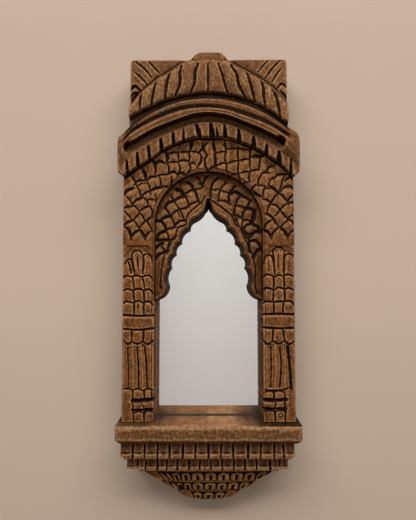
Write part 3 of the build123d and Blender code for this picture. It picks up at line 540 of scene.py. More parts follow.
# Strokes of the scales on the arch board, left and right
LEFT_FIELD = [
    (1.1, 2.0, (132, 176.5), (134.5, 180.5), (136, 185)),
    (1.1, 2.0, (137, 187), (139.5, 191), (140.5, 195.5)),
    (1.7, 2.6, (143, 170), (145, 174), (145.5, 179)),
    (1.1, 2.0, (147, 182), (149.5, 187), (150.5, 194.5)),
    (1.4, 2.2, (152, 158.5), (154.5, 163.5), (155.5, 169.5), (155, 175)),
    (1.1, 2.0, (159.5, 176.5), (160.5, 181.5), (160.5, 187)),
    (1.7, 2.4, (166, 153), (167.5, 157.5), (166.5, 161.5)),
    (1.1, 2.0, (167.5, 163.5), (169, 168.5), (168, 174)),
    (1.1, 2.0, (171, 175.5), (171.5, 181.5), (170, 188.5)),
    (1.1, 2.0, (178, 151), (178.5, 160)),
    (1.1, 2.0, (178.5, 163.5), (180, 168.5), (177.5, 175.5)),
    (1.1, 2.0, (189, 151), (189.5, 161)),
    (1.1, 2.0, (188.5, 163.5), (190.5, 168), (186.5, 175.5)),
    (1.3, 2.4, (200.5, 154), (201.5, 158), (200, 163), (197, 167)),
    (1.3, 2.4, (202.5, 144), (202.5, 148), (198.5, 153)),
    (1.6, 2.4, (191.5, 141.5), (191, 145.5), (190, 150.5)),
    (1.1, 1.8, (179.5, 152), (184.5, 151.5), (189.5, 152)),
    (1.1, 1.8, (191.5, 151.5), (196, 151.5), (199.5, 153.5)),
    (1.1, 1.8, (168.5, 153.5), (173.5, 152), (178, 152.5)),
    (1.1, 2.0, (127, 197), (130, 200), (132, 204.5)),
    (1.1, 2.0, (133.5, 205), (136.5, 208), (139, 211.5)),
    (1.1, 2.0, (124.5, 211.5), (128.5, 215.5), (132, 220)),
    (1.1, 2.0, (133.5, 220.5), (136.5, 224), (139, 229)),
    (1.7, 2.6, (125, 227), (129, 230.5), (131, 238.5)),
    (1.1, 2.0, (143, 197), (146, 200), (148, 203.5)),
    (1.1, 2.0, (140, 213.5), (142.5, 216), (144.5, 220.5)),
    (1.1, 2.0, (146, 220.5), (149, 224.5), (152, 231.5)),
    (1.7, 2.6, (139.5, 229.5), (142.5, 233.5), (145, 239)),
    (1.1, 2.0, (150, 206.5), (152, 211), (152, 217)),
    (0.9, 1.4, (155, 194), (156, 198), (155.5, 201.5)),
    (1.7, 2.6, (124, 195), (127, 190.5), (133, 188)),
    (1.3, 2.2, (134.5, 184), (138.5, 180.5), (144.5, 180.5)),
    (0.9, 1.5, (137, 186.5), (141, 183.5), (145.5, 183)),
    (1.1, 2.0, (123.5, 208.5), (127, 206.5), (133.5, 206)),
    (1.3, 2.2, (133, 203.5), (136, 200), (142, 198)),
    (1.1, 2.0, (141, 196.5), (145.5, 192.5), (150, 191)),
    (1.3, 2.0, (147.5, 180), (150, 177), (155.5, 176.5)),
    (1.1, 2.0, (156, 176.5), (161, 174.5), (167.5, 174.5)),
    (1.7, 2.4, (152, 190), (156, 188), (160, 187.5)),
    (1.2, 1.8, (160.5, 188.5), (164, 186), (168, 187)),
    (1.7, 2.4, (155.5, 163), (159.5, 161), (164, 163)),
    (1.1, 2.0, (167.5, 163), (172.5, 161.5), (177, 162)),
    (1.3, 2.0, (178.5, 161.5), (183, 160), (188.5, 161)),
    (1.2, 1.8, (190, 164), (193, 162.5), (195, 164)),
    (1.5, 2.2, (169, 173.5), (173.5, 171.5), (176.5, 173.5)),
    (1.5, 2.2, (177.5, 174.5), (181.5, 172.5), (185.5, 175)),
    (1.2, 2.0, (139, 211.5), (143.5, 208), (150, 206)),
    (1.2, 2.0, (133.5, 220.5), (135.5, 217), (139.5, 213.5)),
    (1.4, 2.3, (123.5, 226), (127, 222.5), (132.5, 220.5)),
    (1.2, 2.0, (139, 229), (141.5, 224.5), (146, 220.5)),
    (1.1, 2.0, (146.5, 221.5), (149, 218.5), (152, 217)),
    (1.4, 2.3, (131, 238.5), (133.5, 233.5), (139, 230)),
    (1.3, 2.2, (145, 239), (146.5, 234.5), (150, 231.5)),
    (1.4, 1.8, (147.5, 200), (150.5, 199), (154.5, 200)),
]
RIGHT_FIELD = [
    (1.3, 2.4, (206.5, 143.5), (203.5, 148), (207, 155.5)),
    (1.3, 2.4, (207.5, 155), (205, 159), (205, 164.5), (207.5, 171)),
    (1.7, 2.5, (213, 141), (214, 147), (215.5, 153.5)),
    (1.7, 2.5, (214.5, 154), (215.5, 159), (215, 165.5), (216, 167.5)),
    (1.1, 2.0, (225, 141.5), (226, 149.5), (225, 154.5)),
    (1.1, 2.0, (225.5, 154), (225, 158.5), (226.5, 164.5), (226.5, 169.5), (229.5, 176.5)),
    (1.1, 2.0, (238, 146.5), (238, 155), (238.5, 163.5), (238, 170), (240, 180.5), (241.5, 184.5)),
    (1.1, 2.0, (250.5, 147), (250, 156), (250, 164.5), (250.5, 170.5)),
    (1.1, 2.0, (261, 157), (259.5, 163.5), (259, 169.5)),
    (1.1, 1.8, (214.5, 153.5), (219.5, 152), (225.5, 151)),
    (1.1, 1.8, (227, 149), (234.5, 148), (248, 149.5)),
    (1.1, 1.8, (252, 156), (256.5, 155), (263, 156)),
    (1.2, 2.0, (250, 172), (249, 177.5), (250, 181.5)),
    (1.2, 2.0, (262, 174), (258.5, 179.5), (258.5, 185.5)),
    (1.1, 2.0, (273, 177.5), (270, 180.5), (268.5, 186)),
    (1.1, 2.0, (284.5, 176.5), (282.5, 180), (281.5, 184.5), (279, 192)),
    (1.4, 2.2, (255.5, 185), (252, 189), (251, 194)),
    (1.1, 2.0, (265.5, 186.5), (263.5, 191), (263, 198)),
    (1.3, 2.2, (279, 193.5), (275, 196.5), (271, 203), (268, 208), (267, 214.5)),
    (1.4, 2.4, (294.5, 194), (290.5, 197), (288, 201.5)),
    (1.2, 2.2, (287, 203.5), (281.5, 208), (279.5, 211), (275.5, 215.5)),
    (1.2, 2.2, (295, 213.5), (290, 216.5), (288, 220), (282.5, 225), (280.5, 229.5)),
    (1.3, 2.2, (271.5, 220), (266.5, 223.5), (264, 229.5)),
    (1.1, 2.0, (208, 171), (212, 167), (218, 165.5)),
    (1.1, 2.0, (217, 165), (222, 163), (226, 163)),
    (1.1, 2.0, (227, 163.5), (233.5, 161), (238, 160.5)),
    (1.1, 2.0, (239, 160.5), (245, 159), (249.5, 159)),
    (0.9, 1.6, (251, 157.5), (255.5, 156.5), (260, 157.5)),
    (1.1, 2.0, (230, 176.5), (233.5, 174), (239, 173.5)),
    (1.1, 2.0, (240.5, 173), (245, 171.5), (250, 172)),
    (1.1, 2.0, (251, 171), (255.5, 169.5), (259, 169.5)),
    (0.9, 1.6, (242, 184), (246, 182), (249.5, 182)),
    (1.2, 2.0, (266, 172), (269.5, 167), (274, 165.5)),
    (1.2, 1.9, (262, 173.5), (265.5, 172), (269.5, 173)),
    (1.8, 2.6, (251, 191.5), (255.5, 193.5), (260.5, 196)),
    (0.9, 1.6, (255.5, 185.5), (260, 185), (265.5, 186)),
    (1.2, 2.0, (274, 179), (278.5, 174.5), (289, 174)),
    (1.2, 2.0, (285, 180.5), (289, 177.5), (293, 176.5)),
    (1.0, 1.7, (263.5, 189.5), (267.5, 188), (272, 188.5)),
    (1.7, 2.6, (270.5, 186), (275, 189.5), (279, 193.5)),
    (1.3, 2.2, (280, 193.5), (283.5, 196), (288, 202)),
    (1.2, 1.9, (280, 192.5), (283.5, 188), (289.5, 186), (294.5, 189.5)),
    (1.2, 2.0, (263, 199), (267.5, 200), (271.5, 204)),
    (1.3, 2.2, (271.5, 204.5), (276, 205), (280.5, 210)),
    (1.3, 2.2, (280.5, 210), (285, 215.5), (289, 219.5)),
    (1.1, 2.0, (288.5, 204.5), (292, 202), (294.5, 203)),
    (1.4, 2.2, (266, 213.5), (271.5, 216.5), (275, 221), (279, 227)),
    (1.7, 2.6, (263.5, 230), (268, 232), (271.5, 238)),
    (1.4, 2.2, (271.5, 238), (273.5, 232.5), (278, 228)),
    (1.7, 2.6, (281, 228), (284.5, 231), (288, 237.5)),
    (1.4, 2.2, (288, 237.5), (290.5, 232.5), (295, 229.5)),
    (1.1, 2.0, (289, 219.5), (292.5, 221.5), (295, 226)),
]
# Worn rim of the opening, round its head and beside its sides: distances from the edge, and loss of
# depth there
HEAD_RIM = (0, 0.5, 1.0, 2.0, 4.5, 7.0), (1.6, 0.9, 0.5, 0.4, 1.1, 0)
SIDE_RIM = (0, 2.6, 3.4, 4.2), (0, 0.1, 1.0, 0)


def to_circle(angle, below, radius):
    """Length of a ray from the middle line to a circle whose centre is that far below its start."""
    b = below * math.sin(angle)
    return -b + math.sqrt(b * b + radius ** 2 - below ** 2)


def arch_rays():
    """Stations round the opening, foot to foot: inner and outer ends of each."""
    corner = math.atan2(EAVE_LOW - drop(HALF) - ARCH_Z, HALF)
    feet = np.linspace(POST_TOP, ARCH_Z, 52)[:-1]
    turn = np.concatenate([np.linspace(0, corner, 80)[:-1], np.linspace(corner, math.pi / 2, 170)])
    inner = [(OPEN, z) for z in feet] + [(OPEN * math.cos(a), ARCH_Z + OPEN * math.sin(a)) for a in turn]
    outer = [(HALF, z) for z in feet]
    for a in turn:
        # the ray from the arch's centre meets the straight side, and past its corner the eave line
        r = HALF / math.cos(a) if a <= corner else to_circle(a, ARCH_Z - EAVE_LOW + EAVE_R, EAVE_R)
        outer.append((r * math.cos(a), ARCH_Z + r * math.sin(a)))
    return both_halves(np.array(inner)), both_halves(np.array(outer))


def arch_back(inner, outer):
    """Back rows of the arch head: the flat back, the rectangular rebate and the lip of the opening."""
    room = np.stack([REBATE_HALF - np.abs(inner[:, 0]), REBATE_TOP - inner[:, 1]], 1)
    reach = (room / np.maximum(np.abs(outer - inner), TINY)).min(1)
    edge = inner + (outer - inner) * np.clip(reach, 0.03, 0.97)[:, None]
    out = np.where(inner[:, 1:] > ARCH_Z, inner - [0, ARCH_Z], inner * [1, 0])
    lip = inner + out / np.linalg.norm(out, axis=1, keepdims=True) * (LIP - OPEN)
    rows = ((outer, 0), (edge, 0), (edge, REBATE), (lip, REBATE), (lip, LIP_TOP), (inner, LIP_TOP))
    return [(line[:, 0], line[:, 1], depth) for line, depth in rows]


def arch_head():
    inner, outer = arch_rays()
    X, Z = between(inner, outer, np.linspace(0, 1, 92))
    f = Field(X, Z, 300)
    for table, lie in ((LEFT_FIELD, (0.5, -0.85)), (RIGHT_FIELD, (-0.5, -0.85))):
        f.traced(table, DEPTH, lie=lie, shoulder=0.8, soft_width=2.6, slope=0.6, slope_width=3.8)
    D = DEPTH - f.taken()
    # a worn rim: a step and a hollow round the head of the opening, and a thin line beside its sides
    gap = np.where(Z > ARCH_Z, np.hypot(X, Z - ARCH_Z), np.abs(X)) - OPEN
    high = ramp(Z, 40, 100)
    ring = np.interp(gap, *HEAD_RIM) + 0.15 * noise(X, Z, 4, 12)
    strip = np.interp(gap, *SIDE_RIM)
    D -= np.where(gap < 6, high * ring + (1 - high) * strip, 0)
    # a raised lip between the two middle scales
    D += 0.5 * bell(X + 2.6, 2.2) * ramp(Z, 150, 158)
    # the dark joint under the teeth of the eave
    under = EAVE_LOW - drop(np.clip(X, -HALF, HALF)) - sag_of(TOOTH_FEET, 0, X) - Z
    D -= 2.6 * ramp(3.6 - under, 0, 2.0)
    # painted shade round the head of the opening: two dark lines, with darkened wood between them
    lines = 1.5 * bell(gap - 3.3, 0.6) + 0.7 * ramp(3.6 - gap, 0, 0.6)
    # painted shade in the gouges, on their gentle slopes, along the opening's edge and as a band of shadow
    # under the teeth of the eave
    dirt_and_shade = highest(f.cut * 1.5, 0.8 * f.slope_shade, 1.6 * ramp(1.1 - gap, 0, 0.6), lines * ramp(Z, 118, 126),
                   1.8 * ramp(4.2 - under, 0, 2.2))
    # the rebate and lip rows behind are painted dark as shade
    return body("arch_head", X, Z, D, arch_back(inner, outer), dirt_and_shade, calm=0.85 * ramp(6.0 - gap, 0, 2.0),
                behind=(0, 0, 0, 0.75, 0.75, 0.75))


# Half width of the cusped panel, just inside the opening
PANEL_HALF = OPEN - 0.2
# Cusped panel: its depth, and the middle and end of each arc of its edge, from the foot up. Both are
# measured from the arch's centre, as shares of the opening's half width
PANEL_DEPTH = 30.0
CUSPS = (
    ((0.829, -1.322), (0.775, -1.137)), ((0.800, -0.932), (0.726, -0.790)),
    ((0.719, -0.610), (0.638, -0.534)), ((0.621, -0.384), (0.532, -0.308)),
    ((0.486, -0.130), (0.359, -0.041)), ((0.336, 0.068), (0.247, 0.137)),
    ((0.082, 0.274), (0.0, 0.452)),
)
LEFT_PANEL = [
    (0.8, 1.9, (198, 178), (201, 182.5), (203, 185.5)),
    (1.0, 2.0, (206, 176.5), (204, 180.5), (203, 185.5)),
    (1.5, 2.3, (188, 182.5), (191.5, 185), (193.5, 190)),
    (1.2, 2.1, (186, 193), (190, 190.5), (195, 189.5)),
    (0.7, 1.9, (195, 189.5), (199, 188.5), (202, 187)),
    (1.4, 2.2, (195, 190.5), (196.5, 195), (198.5, 201.5)),
    (2.1, 2.5, (177.5, 189.5), (181.5, 191.5), (183, 195.5)),
    (1.4, 2.2, (175, 200), (179.5, 197.5), (185.5, 196.5)),
    (1.0, 2.0, (185.5, 196.5), (187.5, 201), (188.5, 206)),
    (1.0, 2.0, (188.5, 205.5), (192.5, 203), (198, 201)),
    (0.9, 2.0, (171, 196), (174, 201), (179, 209)),
    (0.9, 2.0, (179, 209), (184.5, 208), (188.5, 206)),
    (1.7, 2.3, (165, 207), (167.5, 203), (173, 201)),
    (1.0, 2.0, (164.5, 206.5), (167, 210.5), (170.5, 215.5)),
    (1.0, 2.0, (170.5, 216), (174, 212), (179, 209)),
    (1.0, 2.0, (180.5, 211), (182.5, 215.5), (184.5, 220.5)),
    (0.6, 1.8, (178, 211.5), (179, 214.5), (180.5, 216.5)),
    (1.7, 2.3, (162.5, 218.5), (167, 216.5), (170.5, 216.5)),
    (1.0, 2.0, (171, 216.5), (173, 220.5), (174.5, 225.5)),
    (1.1, 2.1, (174.5, 225.5), (179.5, 221), (185, 220.5)),
    (1.5, 2.3, (155.5, 220.5), (160.5, 221), (164, 224.5), (166, 229)),
    (0.9, 2.0, (166, 230.5), (170, 228), (175.5, 227)),
    (1.7, 2.3, (157, 239.5), (158.5, 234), (164, 231.5)),
    (1.0, 2.0, (166, 230.5), (168, 235.5), (169, 240.5)),
    (1.8, 2.4, (158.5, 240.5), (163, 240), (169, 240)),
    (1.2, 2.1, (170, 240), (168.5, 246), (167, 251)),
    (1.8, 2.4, (156, 247.5), (159.5, 244.5), (162, 243.5)),
    (1.2, 2.1, (161, 245.5), (164, 249.5), (166, 252)),
    (1.5, 2.3, (155, 258.5), (159, 254.5), (165, 252)),
    (0.8, 1.9, (169, 240.5), (172.5, 238.5), (176, 236)),
]
RIGHT_PANEL = [
    (0.8, 1.9, (200, 182.5), (201, 184.5), (202.5, 185.5)),
    (1.0, 2.0, (205.5, 176.5), (204, 181), (202, 185.5)),
    (1.2, 2.1, (217, 178.5), (213, 182.5), (211, 189), (210.5, 198.5)),
    (1.0, 2.0, (225.5, 183), (221, 188.5), (219, 194), (218.5, 201)),
    (1.4, 2.2, (234.5, 186.5), (231, 191), (229, 195), (229, 200)),
    (0.6, 1.8, (210.5, 188.5), (214.5, 189.5), (218.5, 188.5)),
    (0.6, 1.8, (220, 190.5), (224.5, 191), (228.5, 192.5)),
    (1.4, 2.2, (241.5, 195), (238, 199), (235.5, 205), (234, 211.5)),
    (1.9, 2.5, (230.5, 193.5), (235.5, 192), (241.5, 195)),
    (1.0, 2.0, (235.5, 205.5), (241, 206), (245.5, 208.5)),
    (1.2, 2.1, (249, 203), (247, 208), (243.5, 212), (242.5, 217.5), (243.5, 220)),
    (1.7, 2.3, (245.5, 208), (250, 208.5), (254.5, 210.5)),
    (2.2, 2.6, (254.5, 210.5), (254, 216.5), (252, 222)),
    (1.0, 2.0, (243.5, 220), (248, 220), (252, 222)),
    (1.2, 2.1, (243.5, 231), (246, 225.5), (252, 223.5)),
    (1.7, 2.3, (253, 224.5), (257.5, 226.5), (261.5, 231.5)),
    (1.8, 2.4, (261.5, 232), (255, 232), (250, 237)),
    (1.0, 2.0, (243.5, 233.5), (246.5, 237), (250, 241)),
    (1.7, 2.3, (251, 241), (256.5, 241), (262, 248)),
    (1.8, 2.4, (262, 249), (257.5, 250.5), (254, 256.5)),
    (1.0, 2.0, (249, 241.5), (250, 247), (250.5, 251)),
    (0.8, 1.9, (218.5, 200), (224.5, 200.5), (230, 203.5)),
    (0.8, 1.9, (234, 211.5), (235, 215.5), (235.5, 220.5)),
    (0.8, 1.9, (243.5, 220), (242, 224.5), (243.5, 230.5)),
    (1.3, 2.1, (242.5, 196), (246.5, 197.5), (250, 200.5)),
    (1.1, 2.0, (250.5, 200), (249.5, 202), (249, 204)),
    (1.0, 2.0, (234, 214.5), (238, 215.5), (242, 218)),
    (0.8, 1.9, (237.5, 218), (237, 221), (237.5, 224)),
    (1.8, 2.4, (244.5, 232), (248, 234.5), (251.5, 234.5)),
]
PANEL_LINES = [
    (0.9, 1.8, (205, 196.5), (201.5, 202), (195.5, 207), (188.5, 213.5), (186.5, 218.5), (185.5, 224.5),
     (178.5, 227.5), (176.5, 231.5), (175, 236.5), (170.5, 240), (169, 245.5), (165.5, 252),
     (163, 260), (161.5, 267.5), (161, 274.5), (160, 288)),
    (0.9, 1.8, (209.5, 199), (215.5, 203), (222.5, 208), (227.5, 212), (232.5, 216.5), (235, 223.5),
     (240, 226.5), (242, 231.5), (245, 239), (248, 244), (249, 250), (252, 253),
     (253.5, 258), (255, 265.5), (255.5, 272.5), (255, 282.5), (257, 293)),
]
# Slit at the panel's apex, and the width and depth of the gouge that makes it
APEX_SLIT, SLIT_HALF, SLIT_DEEP = ((208, 200.5), (208.5, 204), (208.5, 212)), 5.2, 14.0
# The panel's ground is cut this far below its uncut face
GROUND_SET = 0.7


def arc_through(a, b, c, n):
    """Points on the circle through three points, from the first towards the last, which is left out."""
    (ax, az), (bx, bz), (cx, cz) = a, b, c
    d = 2 * (ax * (bz - cz) + bx * (cz - az) + cx * (az - bz))
    a2, b2, c2 = ax * ax + az * az, bx * bx + bz * bz, cx * cx + cz * cz
    ux = (a2 * (bz - cz) + b2 * (cz - az) + c2 * (az - bz)) / d
    uz = (a2 * (cx - bx) + b2 * (ax - cx) + c2 * (bx - ax)) / d
    t = [math.atan2(z - uz, x - ux) for x, z in (a, b, c)]
    turn = (t[2] - t[0]) % (2 * math.pi)
    if (t[1] - t[0]) % (2 * math.pi) > turn:
        turn -= 2 * math.pi
    r = math.hypot(ax - ux, az - uz)
    angles = [t[0] + turn * k / n for k in range(n)]
    return [(ux + r * math.cos(angle), uz + r * math.sin(angle)) for angle in angles]


def cusp_line():
    """Right half of the cusped edge, from the foot to the apex."""
    start = (OPEN, FOOT_Z)
    points = []
    for ends in CUSPS:
        middle, end = [(x * OPEN, ARCH_Z + z * OPEN) for x, z in ends]
        length = math.dist(start, middle) + math.dist(middle, end)
        points += arc_through(start, middle, end, max(8, round(length / 0.5)))
        start = end
    return np.array(points + [start])


def panel_rim(edge):
    """Where rays from the middle of the feet through the cusped edge meet the panel's rim."""
    rim = []
    for angle in np.arctan2(edge[:, 1] - FOOT_Z, edge[:, 0]):
        side_z = FOOT_Z + PANEL_HALF * math.tan(min(angle, 1.5))
        if side_z <= ARCH_Z:
            rim.append((PANEL_HALF, side_z))
            continue
        r = to_circle(angle, FOOT_Z - ARCH_Z, PANEL_HALF)
        rim.append((r * math.cos(angle), FOOT_Z + r * math.sin(angle)))
    return np.array(rim)


def soffit_foot(inner):
    """Back edge of the dark soffit, which slants in towards the glass, most on the right and at the tip."""
    away = inner - [0, FOOT_Z + 30.0]
    slant = 1.2 + 1.5 * ramp(inner[:, :1], 0, 12)
    foot = inner - away / np.linalg.norm(away, axis=1, keepdims=True) * slant
    return foot[:, 0], foot[:, 1] - 5.0 * bell(inner[:, 0], 3.2)


def cusped_arch():
    edge = cusp_line()[4:]
    inner, outer = both_halves(edge), both_halves(panel_rim(edge))
    X, Z = between(inner, outer, np.linspace(0, 1, 78) ** 1.15)
    f = Field(X, Z, 700)
    for table, lie in ((LEFT_PANEL, (0.6, -0.8)), (RIGHT_PANEL, (-0.6, -0.8))):
        f.traced(table, PANEL_DEPTH, "even", lie=lie, shoulder=0.7, slope=0.6, slope_width=3.6)
    f.traced(PANEL_LINES, PANEL_DEPTH, "even", shoulder=0.4, soft_width=1.6)
    f.groove(places(APEX_SLIT, PANEL_DEPTH), SLIT_HALF, SLIT_DEEP, "tail", shoulder=0.6, power=2.5)
    # distance from the cusped edge, for the moulding along it
    gap = np.full(X.shape, np.inf)
    for part in np.array_split(inner, 12):
        gap = np.minimum(gap, np.hypot(X[..., None] - part[:, 0], Z[..., None] - part[:, 1]).min(2))
    D = PANEL_DEPTH - f.taken() - GROUND_SET + 1.5 * bell(gap - 4.4, 1.9) - rounded(gap, 3.6)
    # painted shade: the right half and the rows next to the rim are darker, as shade falls there
    from_rim = PANEL_HALF - np.hypot(X, np.maximum(Z - ARCH_Z, 0))
    shade = np.clip(0.7 * ramp(X, 0, 26) + 0.55 * ramp(9 - from_rim, 0, 8), 0, 0.8)
    # painted shade also in the gouges and along the cusped edge
    dirt_and_shade = highest(f.cut * 1.6, 1.8 * ramp(1.5 - gap, 0, 0.9), shade * (0.8 + 0.3 * noise(X, Z, 8, 77)) + 0.2)
    # the panel's back lies just clear of the glass
    behind_depth = REBATE + 0.02
    back = [(outer[:, 0], outer[:, 1], behind_depth), (*soffit_foot(inner), behind_depth)]
    # the soffit's back edge is painted dark as shade
    return body("cusped_arch", X, Z, D, back, dirt_and_shade, behind=(0, 1))


# Gaps between the teeth of the eave: half width and depth of cut, then pixels
TOOTH_GAPS = [
    (1.4, 6.0, (126.5, 160.5), (127.5, 173)), (1.6, 6.0, (137, 151.5), (138, 167)),
    (1.5, 6.0, (148, 143.5), (149.5, 158.5)), (1.8, 6.0, (160.5, 136.5), (161.5, 149.5)),
    (1.6, 6.0, (173, 130.5), (173.5, 142.5)), (1.1, 6.0, (183.5, 126.5), (183.5, 138.5)),
    (2.0, 6.0, (195.5, 121.5), (200, 136.5)), (2.3, 6.0, (210.5, 121), (212.5, 138)),
    (1.7, 6.0, (224.5, 123), (225.5, 138.5)), (1.8, 6.0, (238.5, 127.5), (239.5, 142.5)),
    (2.0, 6.0, (253.5, 134.5), (254, 149)), (1.7, 6.0, (267, 141.5), (266.5, 155)),
    (2.2, 6.0, (279, 149.5), (279.5, 165)), (1.2, 6.0, (291, 159.5), (291, 173)),
    (1.3, 3.0, (216.5, 128.5), (218, 136.5)),
]
# Depths of the slot's floor, the ridge and the teeth
SLOT_DEEP, RIDGE, TOOTH = 41.0, 54.0, 47.0
# Heights above the eave line: top of the teeth, the slot, the ridge and the moulding, and of the block
TOOTH_H, SLOT_TOP_H, RIDGE_TOP_H, PLAIN_H, EAVE_H = 18.0, 29.0, 38.4, 52.0, 58.0
# Heights and depths of the eave's section without its slot, and of the plainer one near both ends
SECTION_H = (0, 18, 29, 33.4, 35.4, 36.4, 37.2, 38, 38.8, 40.2, 42.4, 46, 48.8, 50.4, 52.4, 58)
SECTION_DEEP = (47, 47.4, 54, 53.9, 52.6, 49.2, 48.9, 49.0, 48.6, 48.9, 51.2, 51.6, 50.2, 46.6, 44.4, 44)
END_H, END_DEEP = (0, 18, 30, 50, 58), (47, 47, 50.5, 50, 46)
# Heights and depths of the slot's floor
SLOT_H, SLOT_FLOOR = (18, 18.4, 20.5, 25, 28.9), (46.5, 44.0, 43.0, SLOT_DEEP, SLOT_DEEP + 0.6)
# Middles of the slot's round ends, and their radius
SLOT_ENDS = ((130, 148), (279, 142.5))
SLOT_END_RADIUS = 8.2
# Thin lines along the moulding: height and depth
THIN_LINES = ((31.6, 0.4), (44.3, 0.3))
# Slanting lower corner at each end: its height beside the posts, and its rise to the end
CORNER_LOW, CORNER_RISE = 135.1, 7
# The top edge beyond the dome, at each end from the corner inwards
EAVE_CORNERS = (((118.5, 137), (131, 127)), ((299, 134.5), (287.5, 126)))
# Usual spacing of the rows of points
EAVE_STEP = 0.55
# Hanger's recess in the back
RECESS_HALF, RECESS_TOP, RECESS_LOW, RECESS_DEEP, RECESS_RADIUS = 14.0, 243.8, 193.0, 8.0, 4.0


def eave_rows():
    """Heights above the eave line, with rows set close where the section turns sharply."""
    spans = [(0, 1.2, 0.3), (1.2, 17.4, EAVE_STEP), (17.4, 18.6, 0.15), (18.6, 28.6, EAVE_STEP),
             (28.6, 28.96, 0.18), (28.96, 29.0, 0.02), (29.0, 29.06, 0.02), (29.06, EAVE_H, 0.42)]
    rows = [np.linspace(a, b, max(2, round((b - a) / s) + 1))[:-1] for a, b, s in spans]
    return np.concatenate(rows + [[EAVE_H]])


def eave_end(t):
    """Half length of the eave at each height above its line, cut off by the slanting low corner."""
    xs = np.linspace(HALF, EAVE_HALF, 200)
    corner = CORNER_LOW + (xs - HALF) * CORNER_RISE / (EAVE_HALF - HALF)
    ends = []
    for h in t:
        keep = xs[EAVE_LOW + h - drop(xs) - corner >= 0]
        ends.append(keep.max() if len(keep) else HALF)
    return np.array(ends) - 0.2 * np.clip(t - 56, 0, None)


def eave_heights(X, T, across):
    """Heights of the eave's points, which sag below the true arc as the carved lines do."""
    Z = EAVE_LOW + T - drop(X)
    lines = ((TOOTH_FEET, 0), (TOOTH_HEADS, TOOTH_H), (SLOT_TOP, SLOT_TOP_H), (RIDGE_TOP, RIDGE_TOP_H))
    sags = [sag_of(line, height, across) for line, height in lines]
    sags[0] = sags[0] * (1 - ramp(np.abs(across), HALF, EAVE_HALF))
    knots = [height for _, height in lines] + [PLAIN_H]
    for k in range(len(across)):
        Z[k] -= np.interp(T[k], knots, [sag[k] for sag in sags] + [0])
    # the top edge runs straight out to the corners
    for corner in EAVE_CORNERS:
        (far_x, far_z), (near_x, near_z) = places(corner, 46)
        share = np.clip((X - near_x) / (far_x - near_x), 0, 1.3)
        lift = near_z + (far_z - near_z) * share - (EAVE_LOW + EAVE_H - drop(X))
        Z += np.where(share > 0, np.maximum(lift, 0) * ramp(T, 30, EAVE_H), 0)
    return Z


def eave_slot(X, Z, T):
    """Which points lie in the crescent slot, and the depth of its floor."""
    ends = places(SLOT_ENDS, TOOTH)
    straight = (X > ends[0, 0]) & (X < ends[1, 0])
    slot = (T > TOOTH_H) & (T < SLOT_TOP_H) & straight
    for x, z in ends:
        slot |= (np.hypot(X - x, Z - z) < SLOT_END_RADIUS) & (T > TOOTH_H - 2)
    floor = np.interp(T, SLOT_H, SLOT_FLOOR)
    return slot, np.where(straight, floor, SLOT_DEEP + 2) + 0.35 * noise(X, T, 6, 44)


def eave_back(X, Z, across):
    """Back rows of the eave: flat, with the round-cornered recess of the hanger in the middle."""
    bend = np.clip((np.abs(across) - (RECESS_HALF - RECESS_RADIUS)) / RECESS_RADIUS, 0, 1)
    inset = RECESS_RADIUS - RECESS_RADIUS * np.sqrt(1 - bend ** 2)
    top, low = RECESS_TOP - inset, RECESS_LOW + inset
    inside = np.abs(across) <= RECESS_HALF
    x = np.where(inside, across, 0.98 * across)
    low_x, low_z = X[:, 0], EAVE_LOW - drop(X[:, 0])
    rows = [(X[:, -1], Z[:, -1], 0)]
    for k, (z, depth) in enumerate(((top, 0), (top, RECESS_DEEP), (low, RECESS_DEEP), (low, 0))):
        plain_z = low_z + (Z[:, -1] - low_z) * (4 - k) / 5
        rows.append((x, np.where(inside, z, plain_z), np.where(inside, depth, 0)))
    return rows + [(low_x, low_z, 0), (low_x, low_z, DEPTH + 0.3), (low_x, Z[:, 0], DEPTH + 0.3)]


